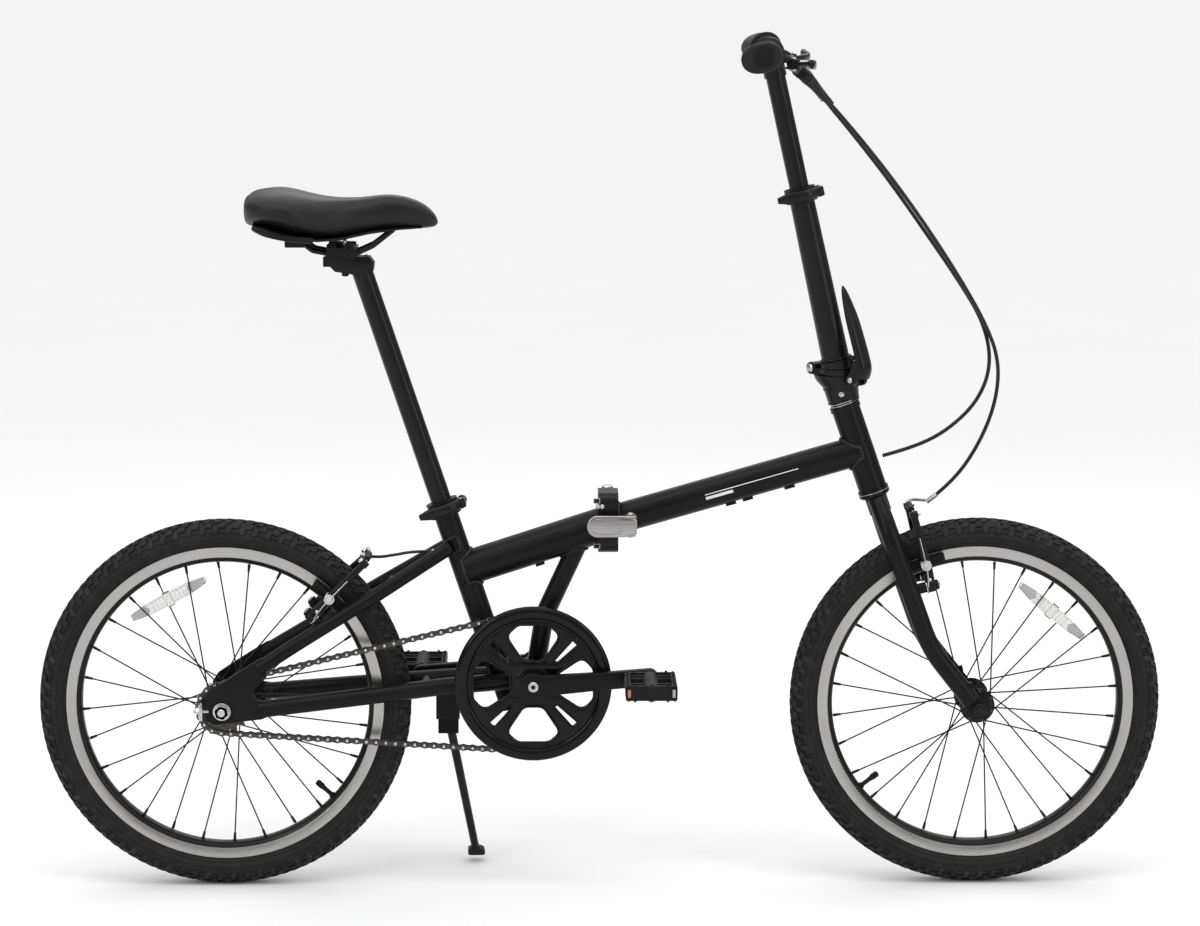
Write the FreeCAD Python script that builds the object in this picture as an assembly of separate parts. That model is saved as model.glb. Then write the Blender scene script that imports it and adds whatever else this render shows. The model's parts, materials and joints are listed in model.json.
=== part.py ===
"""Folding bicycle with 20-inch wheels: one STEP file per sub-part.

Frame: +X forward, +Y to the rider's left, +Z up, millimetres. The origin is on
the ground, midway between the wheels. The drive side (chain, crank) is -Y.
"""
import math
import os

import FreeCAD
import Part

V = FreeCAD.Vector

# ---- driving dimensions (mm) -------------------------------------------------
WHEEL_X = 496.3                 # half the wheelbase
TYRE_R = 245.6                  # outside radius of the tyre, and the axle height
TYRE_HALF = 23.0                # half the tyre's width
TREAD_HALF = 11.0               # half width of the tread's flat
RIM_R = 209.5                   # top of the rim's flanges
RIM_HALF = 13.0                 # half the rim's width
RIM_FLOOR_R = 200.0             # floor of the tyre channel
BRAKE_TRACK_R = 196.0           # lower edge of the flat brake track
RIM_INNER_R = 189.0             # inside of the rim, where the spokes end
PAD_R = 202.8                   # where the brake pads meet the rim
SPOKE_R = 0.95
SPOKE_COUNT = 28
SPOKE_LEAD = 4                  # spoke spacings between a spoke's rim end and its hub end
AXLE_R = 5.0
RUN_FIT = 0.05                  # radial clearance of a turning fit
GAP = 0.3                       # gap between faces of pieces that move apart

BB_X, BB_Z = -89.2, 280.5       # bottom bracket axis
CRANK_LENGTH = 152.0
CRANK_TILT = 4.6                # the right arm points forward and this much up, degrees
CHAIN_Y = -43.0                 # plane of the chain
CHAIN_HALF = 4.2                # half the height of a chain plate
CHAINRING_PITCH_R = 93.1        # 46 teeth at half-inch pitch
COG_PITCH_R = 32.55             # 16 teeth at half-inch pitch
RING_HALF = 1.2                 # half the thickness of the chainring and the cog
GUARD_R = 103.0
ARM_INNER_Y = 64.0              # inner face of a crank arm
ARM_OUTER_Y = 76.0

SEAT_ANGLE = 18.5               # seat tube, degrees back from upright
SEAT_REF = (-203.5, 495.9)      # a point on the seat tube's axis (x, z)
SEAT_TUBE_R = 15.9
SEAT_POST_R = 13.6
SEAT_TUBE_Z = (238.0, 511.0)

STEER_ANGLE = 19.2              # head tube, degrees back from upright
STEER_REF = (338.5, 585.9)      # a point on the steering axis (x, z)
HEAD_TUBE_R = 18.7
HEAD_TUBE_Z = (531.0, 636.0)

POST_ANGLE = 12.6               # handlepost, degrees back from upright
POST_REF = (306.0, 706.0)       # a point on the handlepost's axis (x, z)
POST_INNER_R = 12.7
BAR_Z = 1102.0
BAR_HALF = 287.0                # half the handlebar's width
BAR_R = 11.1
BAR_TWIST = 3.3                 # the bar sits this much round in its clamp, degrees
BAR_SWEEP = 8.0                 # how far the bar's ends come back

MAIN_TUBE_R = 23.0
MAIN_TUBE_SLOPE = 18.0          # degrees
MAIN_TUBE_REF = (-4.0, 480.9)
FRONT_TUBE_R = 20.0
FRONT_TUBE_SLOPE = 16.0
FRONT_TUBE_REF = (45.0, 497.0)

HINGE_X = 9.15                  # the plane where the frame parts
HINGE_PLATE_T = 13.0
HINGE_PLATE_HALF_Y = 30.0
HINGE_Z = 489.0
HINGE_HALF_Z = 40.0
HINGE_PIN_Y = 45.0

STEM_HINGE_S = -17.0            # stem hinge plane, measured along the handlepost from POST_REF
STEM_PIN_OFFSET = 30.0          # stem hinge pin, rear left of the post's axis
STEM_EYE_R = 8.0
LATCH_PIVOT_OUT = 32.0          # latch pin, forward right of the post's axis
POST_TOP_S = 222.0              # top of the outer post, along its axis
POST_LOW_R = 18.2
POST_HIGH_R = 15.9
POST_INSERTION = 100.0          # how far the inner post reaches into the outer one
LEVER_S = 132.0                 # where a brake lever is clamped to the bar
LEVER_PIVOT = (30.0, -13.0)     # its pivot, forward and up of the bar

CROWN_Z = 521.5                 # top of the fork crown
FRONT_PIVOT = (431.8, -40.0, 407.4)
FRONT_ARM_LEAN = -14.0          # brake arms, degrees forward from upright
REAR_PIVOT = (-378.5, -40.0, 368.8)
REAR_ARM_LEAN = 45.0
SADDLE_TOP_Z = 833.0            # top of the seat post
KICK_PIVOT = V(-202.5, 33.0, 214.0)
KICK_FOOT = V(-168.0, 104.0, 12.0)

os.makedirs("parts", exist_ok=True)


# ---- helpers -------------------------------------------------------------------
def rad(degrees):
    return math.radians(degrees)


def seat_axis(z):
    """Point on the seat tube's axis at height z."""
    return V(SEAT_REF[0] - (z - SEAT_REF[1]) * math.tan(rad(SEAT_ANGLE)), 0, z)


def steer_axis(z):
    """Point on the steering axis at height z."""
    return V(STEER_REF[0] - (z - STEER_REF[1]) * math.tan(rad(STEER_ANGLE)), 0, z)


SEAT_DIR = V(-math.sin(rad(SEAT_ANGLE)), 0, math.cos(rad(SEAT_ANGLE)))
SEAT_FRONT = V(math.cos(rad(SEAT_ANGLE)), 0, math.sin(rad(SEAT_ANGLE)))
STEER_DIR = V(-math.sin(rad(STEER_ANGLE)), 0, math.cos(rad(STEER_ANGLE)))
STEER_FRONT = V(math.cos(rad(STEER_ANGLE)), 0, math.sin(rad(STEER_ANGLE)))
POST_DIR = V(-math.sin(rad(POST_ANGLE)), 0, math.cos(rad(POST_ANGLE)))
POST_FRONT = V(math.cos(rad(POST_ANGLE)), 0, math.sin(rad(POST_ANGLE)))
LEFT = V(0, 1, 0)


def post_axis(s):
    """Point on the handlepost's axis, s millimetres up it from its reference point."""
    return V(POST_REF[0], 0, POST_REF[1]) + POST_DIR * s


def rod(a, b, r, bore=0.0):
    """Round bar from a to b, or a tube if it has a bore."""
    run = b - a
    solid = Part.makeCylinder(r, run.Length, a, run)
    if bore:
        solid = solid.cut(Part.makeCylinder(bore, run.Length + 2, a - run.normalize(), run))
    return solid


def taper(a, b, r_a, r_b):
    run = b - a
    return Part.makeCone(r_a, r_b, run.Length, a, run)


def box(x, y, z):
    """Box from three (low, high) pairs."""
    return Part.makeBox(x[1] - x[0], y[1] - y[0], z[1] - z[0], V(x[0], y[0], z[0]))


def oriented_box(origin, ex, ey, ez, x, y, z):
    """Box from three (low, high) pairs measured along the unit directions ex, ey, ez at origin."""
    solid = box(x, y, z)
    place = FreeCAD.Matrix(ex.x, ey.x, ez.x, origin.x, ex.y, ey.y, ez.y, origin.y,
                           ex.z, ey.z, ez.z, origin.z, 0, 0, 0, 1)
    return solid.transformGeometry(place)


def mirror_y(shape):
    return shape.mirror(V(0, 0, 0), V(0, 1, 0))


def both_sides(shape):
    """The piece and its mirror image on the other side of the bike."""
    return Part.makeCompound([shape, mirror_y(shape)])


def fused(first, *rest):
    """The union of overlapping lumps as one clean solid."""
    solid = first.multiFuse(list(rest)) if rest else first
    return solid.removeSplitter()


def bent_rod(points, r, radius=None, bore=0.0):
    """Tube along straight runs joined by tangent arcs. Without a radius each arc
    is as large as its two runs allow. Returns the solid and the arc radii."""
    edges = []
    radii = []
    start = points[0]
    for before, corner, after in zip(points, points[1:], points[2:]):
        u = (before - corner).normalize()
        w = (after - corner).normalize()
        half_turn = (math.pi - u.getAngle(w)) / 2
        reach = 0.45 * min((before - corner).Length, (after - corner).Length)
        if radius:
            reach = min(reach, radius * math.tan(half_turn))
        bend = reach / math.tan(half_turn)
        radii.append(bend)
        arc_in = corner + u * reach
        arc_out = corner + w * reach
        middle_dir = (u + w).normalize()
        centre = corner + middle_dir * (bend / math.cos(half_turn))
        arc_mid = centre - middle_dir * bend
        edges.append(Part.LineSegment(start, arc_in).toShape())
        edges.append(Part.Arc(arc_in, arc_mid, arc_out).toShape())
        start = arc_out
    edges.append(Part.LineSegment(start, points[-1]).toShape())
    path = Part.Wire(edges)
    direction = points[1] - points[0]
    outline = Part.Wire(Part.makeCircle(r, points[0], direction))
    solid = path.makePipeShell([outline], True, True)
    if bore:
        hole = Part.Wire(Part.makeCircle(bore, points[0], direction))
        solid = solid.cut(path.makePipeShell([hole], True, True))
    return solid, radii


def turned(profile, x, z):
    """Solid of revolution about the axle line through (x, z): profile is (radius, y) points."""
    points = [V(x, y, z + r) for r, y in profile]
    face = Part.Face(Part.makePolygon(points + points[:1]))
    return face.revolve(V(x, 0, z), V(0, 1, 0), 360)


def side_plate(outline, y, thickness):
    """Plate cut to an outline of (x, z) points, from y, thickness along +Y."""
    points = [V(x, y, z) for x, z in outline]
    return Part.Face(Part.makePolygon(points + points[:1])).extrude(V(0, thickness, 0))


def disc(x, z, r, y, thickness, bore=0.0):
    """Round plate across the bike, from y, thickness along +Y."""
    plate = Part.makeCylinder(r, thickness, V(x, y, z), V(0, 1, 0))
    if bore:
        plate = plate.cut(Part.makeCylinder(bore, thickness + 2, V(x, y - 1, z), V(0, 1, 0)))
    return plate


def hexagon(x, z, r, y, thickness, bore=0.0):
    """Hexagonal nut or bolt head across the bike, r to its corners."""
    corners = [(x + r * math.cos(rad(a)), z + r * math.sin(rad(a))) for a in range(0, 360, 60)]
    nut = side_plate(corners, y, thickness)
    if bore:
        nut = nut.cut(Part.makeCylinder(bore, thickness + 2, V(x, y - 1, z), V(0, 1, 0)))
    return nut


def export(node, shape):
    shape.exportStep(f"parts/{node}.step")
    solids = len(shape.Solids)
    print(f"{node:26s} solids {solids:3d}  volume {shape.Volume / 1000:9.2f} cm3  valid {shape.isValid()}")


# ---- wheels -----------------------------------------------------------------------
def tyre(x):
    """Hollow casing with a flat tread and beads that sit in the rim's channel."""
    profile = [(202.5, -10.6), (210.0, -10.6), (212.5, -15.5), (218.5, -20.5), (226.0, -TYRE_HALF),
               (233.5, -21.8), (240.5, -17.5), (TYRE_R, -TREAD_HALF)]
    inside = [(202.5, -7.0), (210.0, -7.2), (214.5, -12.5), (219.5, -16.8), (226.0, -19.0),
              (232.5, -18.0), (238.0, -14.5), (241.0, -8.0)]
    profile += [(r, -y) for r, y in reversed(profile)]
    profile += [(r, -y) for r, y in inside] + list(reversed(inside))
    return turned(profile, x, TYRE_R)


def rim(x):
    profile = [(RIM_R, -RIM_HALF), (RIM_R, -11.0), (RIM_FLOOR_R, -11.0), (RIM_FLOOR_R, 11.0),
               (RIM_R, 11.0), (RIM_R, RIM_HALF), (BRAKE_TRACK_R, RIM_HALF), (RIM_INNER_R, 7.0),
               (RIM_INNER_R, -7.0), (BRAKE_TRACK_R, -RIM_HALF)]
    return turned(profile, x, TYRE_R)


def spokes(x, flange_r, flange_y, first):
    """Spokes evenly spaced round the rim; each side's spokes leave the flange's two faces in turn."""
    step = 360.0 / SPOKE_COUNT
    wires = []
    for i in range(SPOKE_COUNT):
        side = 1 if i % 2 else -1
        trailing = 1 if i // 2 % 2 else -1
        rim_angle = first + step * i
        hub_angle = rim_angle - trailing * step * SPOKE_LEAD
        hub = V(x + flange_r * math.cos(rad(hub_angle)), side * (flange_y + 2.6 * trailing),
                TYRE_R + flange_r * math.sin(rad(hub_angle)))
        end_r = RIM_INNER_R - 0.4
        end = V(x + end_r * math.cos(rad(rim_angle)), side * (2.5 + 2.0 * trailing),
                TYRE_R + end_r * math.sin(rad(rim_angle)))
        wires.append(rod(hub, end, SPOKE_R))
    return Part.makeCompound(wires)


def hub(x, flange_r, flange_y, end_y, barrel_r):
    """Hub shell with two flanges, bored for the axle. end_y: how far each end reaches."""
    right_end, left_end = end_y
    profile = [(AXLE_R + RUN_FIT, -right_end), (AXLE_R + 5.0, -right_end), (barrel_r, -flange_y - 2.0),
               (barrel_r, -flange_y - 1.4), (flange_r, -flange_y - 1.4), (flange_r, -flange_y + 1.4),
               (barrel_r, -flange_y + 1.4), (barrel_r - 3.0, -flange_y + 8.0), (barrel_r - 3.0, flange_y - 8.0),
               (barrel_r, flange_y - 1.4), (flange_r, flange_y - 1.4), (flange_r, flange_y + 1.4),
               (barrel_r, flange_y + 1.4), (barrel_r, flange_y + 2.0), (AXLE_R + 5.0, left_end),
               (AXLE_R + RUN_FIT, left_end)]
    return turned(profile, x, TYRE_R)


def wheel_trim(x, valve_angle, reflector_angle):
    """Valve stem with its cap, and the reflector held between the spokes."""
    out = V(math.cos(rad(valve_angle)), 0, math.sin(rad(valve_angle)))
    centre = V(x, 0, TYRE_R)
    valve = fused(rod(centre + out * (RIM_INNER_R - 12), centre + out * (RIM_INNER_R - 0.2), 3.0),
                  rod(centre + out * (RIM_INNER_R - 28), centre + out * (RIM_INNER_R - 12), 4.0))
    out = V(math.cos(rad(reflector_angle)), 0, math.sin(rad(reflector_angle)))
    along = V(-out.z, 0, out.x)
    reflector = oriented_box(centre + out * 157.0, along, LEFT, out, (-56, 56), (-2.2, 2.2), (-8, 8))
    return valve, reflector


def make_wheel(name, x, hub_size, first_spoke, valve_angle, reflector_angle):
    flange_r, flange_y, end_y, barrel_r = hub_size
    shell = hub(x, flange_r, flange_y, end_y, barrel_r)
    wires = spokes(x, flange_r - 3.5, flange_y, first_spoke)
    wires = Part.makeCompound([max(w.cut(shell).Solids, key=lambda s: s.Volume) for w in wires.Solids])
    valve, reflector = wheel_trim(x, valve_angle, reflector_angle)
    reflector = reflector.cut(wires)
    export(f"{name}_tyre", tyre(x))
    export(f"{name}_rim", rim(x))
    export(f"{name}_spokes", wires)
    export(f"{name}_hub", shell)
    export(f"{name}_valve_and_reflector", Part.makeCompound([valve] + reflector.Solids))


# ---- rear half of the frame ---------------------------------------------------------
def seat_tube_solid(bore):
    return rod(seat_axis(SEAT_TUBE_Z[0]), seat_axis(SEAT_TUBE_Z[1]), SEAT_TUBE_R, bore)


def bottom_bracket_solid(bore=0.0):
    return disc(BB_X, BB_Z, 20.5, -34.0, 68.0, bore)


def make_rear_frame():
    seat_tube = seat_tube_solid(SEAT_POST_R + RUN_FIT)
    seat_core = seat_tube_solid(0.0)
    bb_core = bottom_bracket_solid()
    export("seat_tube", seat_tube)

    slope = V(math.cos(rad(MAIN_TUBE_SLOPE)), 0, math.sin(rad(MAIN_TUBE_SLOPE)))
    hinge_end = V(MAIN_TUBE_REF[0], 0, MAIN_TUBE_REF[1])
    main = rod(hinge_end - slope * 190.0, hinge_end + slope * 20.0, MAIN_TUBE_R, MAIN_TUBE_R - 2.0)
    main = main.common(box((-200, HINGE_X - GAP / 2 - HINGE_PLATE_T), (-40, 40), (300, 600)))
    main = main.cut(seat_core)
    main = max(main.Solids, key=lambda lump: lump.CenterOfMass.x)
    clip = oriented_box(hinge_end - slope * 88.0, slope, LEFT, slope.cross(LEFT) * -1,
                        (-6, 6), (-5, 5), (MAIN_TUBE_R, MAIN_TUBE_R + 3.0))
    main_core = rod(hinge_end - slope * 190.0, hinge_end + slope * 20.0, MAIN_TUBE_R)
    export("rear_main_tube", Part.makeCompound([main, clip.cut(main_core)]))

    strut, _ = bent_rod([V(-30.0, 0, 458.0), V(-74.5, 0, 362.0), V(BB_X + 2.0, 0, BB_Z + 5.0)],
                        12.7, radius=60.0, bore=10.9)
    strut = strut.cut(main_core).cut(bb_core)
    strut = max(strut.Solids, key=lambda lump: lump.Volume)
    export("support_strut", strut)

    gusset = box((BB_X - 32, BB_X), (-13, 13), (BB_Z - 14, BB_Z + 14))
    shell = fused(bb_core, gusset).cut(seat_core).cut(disc(BB_X, BB_Z, 17.0, -40, 80))
    cups = fused(disc(BB_X, BB_Z, 17.0, -36.0, 12.0), disc(BB_X, BB_Z, 20.0, -37.5, 3.3))
    cups = cups.cut(disc(BB_X, BB_Z, 8.05, -40, 30))
    cups = both_sides(cups)
    export("bottom_bracket", Part.makeCompound([max(shell.Solids, key=lambda s: s.Volume)] + cups.Solids))

    chainstay, _ = bent_rod([V(-449.0, -57.0, 247.5), V(-330.0, -44.5, 259.5), V(-205.0, -28.5, 272.0),
                             V(BB_X - 8.0, -22.0, 279.5)], 11.4, radius=250.0, bore=9.9)
    chainstay = chainstay.cut(seat_core).cut(shell).cut(bb_core)
    chainstay = max(chainstay.Solids, key=lambda lump: lump.Volume)
    export("chainstays", both_sides(chainstay))

    seatstay, _ = bent_rod([V(-448.0, -59.0, 302.0), V(-400.0, -50.0, 332.0), V(-290.0, -39.5, 399.0),
                            V(-198.0, -16.0, 455.5)], 9.3, radius=220.0, bore=7.8)
    seatstay = seatstay.cut(seat_core)
    seatstay = max(seatstay.Solids, key=lambda lump: lump.Volume)
    export("seatstays", both_sides(seatstay))

    outline = [(-519.0, 262.0), (-521.0, 246.0), (-517.0, 234.0), (-507.0, 228.0), (-444.0, 235.2),
               (-438.0, 238.0), (-438.0, 258.5), (-450.5, 260.5), (-455.5, 267.0), (-455.0, 276.0),
               (-449.0, 283.5), (-438.0, 293.0), (-436.0, 318.0), (-446.5, 315.0), (-466.0, 303.0),
               (-494.0, 285.0), (-512.0, 273.0)]
    plate = side_plate(outline, -61.0, 6.0)
    plate = plate.cut(disc(-WHEEL_X, TYRE_R, AXLE_R + 0.02, -70, 20))
    plate = plate.cut(chainstay).cut(seatstay)
    plate = max(plate.Solids, key=lambda lump: lump.Volume)
    export("dropouts", both_sides(plate))

    brake_bridge = rod(V(-276.0, -38, 407.0), V(-276.0, 38, 407.0), 5.0)
    stay_bridge = rod(V(-231.0, -34, 269.5), V(-231.0, 34, 269.5), 7.0)
    bracket = box((-218, -187), (-12, 12), (232, 262))
    bracket = fused(bracket, box((-218, -187), (-12, 26), (224, 244)), box((-216, -189), (8, 26), (200, 240)))
    pieces = []
    for lump in (brake_bridge, stay_bridge, bracket):
        trimmed = lump.cut(both_sides(chainstay)).cut(both_sides(seatstay))
        pieces.append(max(trimmed.Solids, key=lambda s: s.Volume))
    bosses = both_sides(rear_brake_boss().cut(seatstay))
    export("stay_bridges_and_bosses", Part.makeCompound(pieces + bosses.Solids))
    return seat_core


# ---- frame hinge -------------------------------------------------------------------
def hinge_plate(low_x):
    plate = box((low_x, low_x + HINGE_PLATE_T), (-HINGE_PLATE_HALF_Y, HINGE_PLATE_HALF_Y),
                (HINGE_Z - HINGE_HALF_Z, HINGE_Z + HINGE_HALF_Z))
    upright = [edge for edge in plate.Edges if abs(edge.tangentAt(edge.FirstParameter).x) > 0.9]
    return plate.makeFillet(14.0, upright)


def knuckle(z_low, z_high, reach_x):
    """Hinge eye on the pin, with a web that reaches back to its own plate."""
    eye = Part.makeCylinder(9.5, z_high - z_low, V(HINGE_X, HINGE_PIN_Y, z_low), V(0, 0, 1))
    web = box(tuple(sorted((HINGE_X, reach_x))), (20.0, HINGE_PIN_Y + 4.0), (z_low, z_high))
    return eye.fuse(web)


def make_frame_hinge():
    rear_x = HINGE_X - 0.15 - HINGE_PLATE_T
    front_x = HINGE_X + 0.15
    lift = 18.0
    middle = (HINGE_Z - lift + GAP, HINGE_Z + lift - GAP)
    tall_bore = Part.makeCylinder(5.0 + RUN_FIT, 200, V(HINGE_X, HINGE_PIN_Y, HINGE_Z - 100), V(0, 0, 1))
    sweep = Part.makeCylinder(9.5 + GAP, 200, V(HINGE_X, HINGE_PIN_Y, HINGE_Z - 100), V(0, 0, 1))

    rear = hinge_plate(rear_x).cut(sweep)
    ears = [knuckle(HINGE_Z - HINGE_HALF_Z + 6, HINGE_Z - lift, rear_x + 2),
            knuckle(HINGE_Z + lift, HINGE_Z + HINGE_HALF_Z - 6, rear_x + 2)]
    half_space = box((rear_x, HINGE_X - 0.15), (-60, 80), (400, 600))
    ears = [ear.common(half_space).fuse(Part.makeCylinder(9.5, ear.BoundBox.ZLength,
            V(HINGE_X, HINGE_PIN_Y, ear.BoundBox.ZMin), V(0, 0, 1))) for ear in ears]
    rear = rear.multiFuse(ears).cut(tall_bore)
    rear = max(rear.Solids, key=lambda s: s.Volume).removeSplitter()
    pin = fused(Part.makeCylinder(5.0, 72, V(HINGE_X, HINGE_PIN_Y, HINGE_Z - 36), V(0, 0, 1)),
                Part.makeCylinder(7.5, 3, V(HINGE_X, HINGE_PIN_Y, HINGE_Z - 37.2), V(0, 0, 1)),
                Part.makeCylinder(7.5, 3, V(HINGE_X, HINGE_PIN_Y, HINGE_Z + 34.2), V(0, 0, 1)))
    export("rear_hinge_flange", Part.makeCompound([rear, pin.cut(rear)]))

    front = hinge_plate(front_x)
    for low, high in ((HINGE_Z - HINGE_HALF_Z - 1, middle[0] - GAP), (middle[1] + GAP, HINGE_Z + HINGE_HALF_Z + 1)):
        front = front.cut(Part.makeCylinder(9.5 + GAP, high - low, V(HINGE_X, HINGE_PIN_Y, low), V(0, 0, 1)))
    eye = knuckle(middle[0], middle[1], front_x + HINGE_PLATE_T - 2)
    eye = eye.common(box((HINGE_X + 0.15, 60), (-60, 80), (400, 600))).fuse(
        Part.makeCylinder(9.5, middle[1] - middle[0], V(HINGE_X, HINGE_PIN_Y, middle[0]), V(0, 0, 1)))
    lug = fused(box((20, 38), (-46, -24), (HINGE_Z - 5, HINGE_Z + 5)),
                Part.makeCylinder(7.5, 10, V(38, -41.5, HINGE_Z - 5), V(0, 0, 1)))
    front = front.multiFuse([eye, lug]).cut(tall_bore)
    front = front.cut(Part.makeCylinder(3.0 + RUN_FIT, 30, V(38, -41.5, HINGE_Z - 15), V(0, 0, 1)))
    export("front_hinge_flange", max(front.Solids, key=lambda s: s.Volume).removeSplitter())

    ears = [Part.makeCylinder(8.0, 8, V(38, -41.5, HINGE_Z + z), V(0, 0, 1)) for z in (-13.5, 5.5)]
    arms = [box((30, 45.5), (-56, -41.5), (HINGE_Z + z, HINGE_Z + z + 8)) for z in (-13.5, 5.5)]
    blade = box((-8, 46), (-56, -50.5), (HINGE_Z - 14.5, HINGE_Z + 14.5))
    tip = Part.makeCylinder(14.5, 5.5, V(-5, -56, HINGE_Z), V(0, 1, 0))
    wedge = box((-1, 19), (-51, -30.6), (HINGE_Z - 12, HINGE_Z + 12))
    pin = Part.makeCylinder(3.0, 27, V(38, -41.5, HINGE_Z - 13.5), V(0, 0, 1))
    export("frame_latch_lever", fused(blade, tip, wedge, pin, *ears, *arms))


# ---- front half of the frame -----------------------------------------------------------
def make_front_frame():
    slope = V(math.cos(rad(FRONT_TUBE_SLOPE)), 0, math.sin(rad(FRONT_TUBE_SLOPE)))
    ref = V(FRONT_TUBE_REF[0], 0, FRONT_TUBE_REF[1])
    head_core = rod(steer_axis(HEAD_TUBE_Z[0]), steer_axis(HEAD_TUBE_Z[1]), HEAD_TUBE_R)
    tube_core = rod(ref - slope * 60, ref + slope * 310, FRONT_TUBE_R)
    tube = tube_core.cut(rod(ref - slope * 61, ref + slope * 311, FRONT_TUBE_R - 1.8))
    tube = tube.common(box((HINGE_X + 0.15 + HINGE_PLATE_T, 400), (-40, 40), (400, 700))).cut(head_core)
    tube = min(tube.Solids, key=lambda s: s.CenterOfMass.x)
    clips = []
    for s in (125.0, 148.0, 205.0):
        clip = oriented_box(ref + slope * s, slope, LEFT, slope.cross(LEFT) * -1,
                            (-7, 7), (-5, 5), (FRONT_TUBE_R - 3, FRONT_TUBE_R + 3.0))
        clips.append(clip.cut(tube_core))
    export("front_main_tube", Part.makeCompound([tube] + clips))

    head = head_core.cut(rod(steer_axis(500), steer_axis(700), 16.0))
    low_cup = rod(steer_axis(HEAD_TUBE_Z[0]), steer_axis(HEAD_TUBE_Z[0] - 8.0), 20.5, 14.6)
    top_cup = rod(steer_axis(HEAD_TUBE_Z[1]), steer_axis(HEAD_TUBE_Z[1] + 6.0), 20.0, 14.6)
    export("head_tube", Part.makeCompound([head, low_cup, top_cup]))


# ---- fork, stem base, front brake bosses ------------------------------------------------------
def fork_blade():
    """Right blade: out from the crown, down beside the wheel, then curved forward to the tip."""
    rake = steer_axis(405.0) - STEER_DIR * 84.0
    points = [steer_axis(CROWN_Z - 4) + V(0, -11.0, 0), steer_axis(478.0) + V(0, -41.5, 0),
              V(rake.x + 2.0, -49.0, rake.z), V(WHEEL_X - 10.0, -51.5, TYRE_R + 10.0)]
    blade, _ = bent_rod(points, 12.2, radius=160.0, bore=10.4)
    return blade


def fork_dropout():
    """Flat right tip with the hole for the axle."""
    tip = side_plate([(WHEEL_X - 27, TYRE_R + 32), (WHEEL_X - 16, TYRE_R - 1), (WHEEL_X - 6, TYRE_R - 12),
                      (WHEEL_X + 8, TYRE_R - 12), (WHEEL_X + 13, TYRE_R), (WHEEL_X + 8, TYRE_R + 11),
                      (WHEEL_X - 6, TYRE_R + 18), (WHEEL_X - 10, TYRE_R + 36)], -55.5, 5.5)
    return tip.cut(disc(WHEEL_X, TYRE_R, AXLE_R + 0.02, -70, 30))


def brake_frame(pivot, lean):
    """Pivot of a brake arm, with the directions up along the arm and out along its boss."""
    up = V(math.sin(rad(lean)), 0, math.cos(rad(lean)))
    out = V(up.z, 0, -up.x)
    return V(*pivot), up, out


def front_brake_boss():
    pivot, _, out = brake_frame(FRONT_PIVOT, FRONT_ARM_LEAN)
    return fused(rod(pivot - out * 26, pivot - out * 6.3, 7.0), rod(pivot - out * 6.4, pivot + out * 7, 4.0),
                 rod(pivot + out * 6.6, pivot + out * 10, 6.5))


def rear_brake_boss():
    pivot, _, out = brake_frame(REAR_PIVOT, REAR_ARM_LEAN)
    out = out * -1
    return fused(rod(pivot - out * 22, pivot - out * 6.3, 7.0), rod(pivot - out * 6.4, pivot + out * 7, 4.0),
                 rod(pivot + out * 6.6, pivot + out * 10, 6.5))


def make_fork():
    blade = fork_blade()
    dropout = fork_dropout()
    blade = blade.cut(disc(WHEEL_X, TYRE_R, 60, -50, 110))
    blade = blade.cut(rod(steer_axis(CROWN_Z), steer_axis(CROWN_Z + 60), 60.0))
    crown_core = rod(steer_axis(CROWN_Z), steer_axis(CROWN_Z - 22), 14.6)
    steerer = rod(steer_axis(CROWN_Z), steer_axis(668.0), 14.3)
    race = rod(steer_axis(CROWN_Z), steer_axis(HEAD_TUBE_Z[0] - 8.3), 18.5)
    export("fork_steerer", fused(crown_core, steerer, race))
    axle_hole = disc(WHEEL_X, TYRE_R, AXLE_R + 0.02, -80, 60)
    right = fused(blade.cut(crown_core).cut(axle_hole), dropout)
    right = right.cut(box((100, 500), (0, 80), (200, 700))).cut(axle_hole)
    right = fused(max(right.Solids, key=lambda s: s.Volume), front_brake_boss())
    export("fork_blades", both_sides(right))

    axle = disc(WHEEL_X, TYRE_R, AXLE_R, -66.0, 132.0)
    nuts = both_sides(hexagon(WHEEL_X, TYRE_R, 9.2, -63.5, 7.9, AXLE_R).cut(axle))
    export("front_axle", Part.makeCompound([axle] + nuts.Solids))


def stem_hinge_frame():
    """Centre of the stem hinge plane, and the horizontal directions of its pin and of its fall."""
    centre = post_axis(STEM_HINGE_S)
    pin_dir = V(1, 1, 0).normalize()
    fall_dir = V(-1, 1, 0).normalize()
    return centre, pin_dir, fall_dir


def stem_eye(low, high):
    """Round eye on the stem hinge pin, from low to high along it."""
    centre, pin_dir, fall_dir = stem_hinge_frame()
    pin_spot = centre + fall_dir * STEM_PIN_OFFSET
    return rod(pin_spot + pin_dir * low, pin_spot + pin_dir * high, STEM_EYE_R)


def latch_pivot_point():
    centre, _, fall_dir = stem_hinge_frame()
    return centre - fall_dir * LATCH_PIVOT_OUT - V(0, 0, 12)


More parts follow.
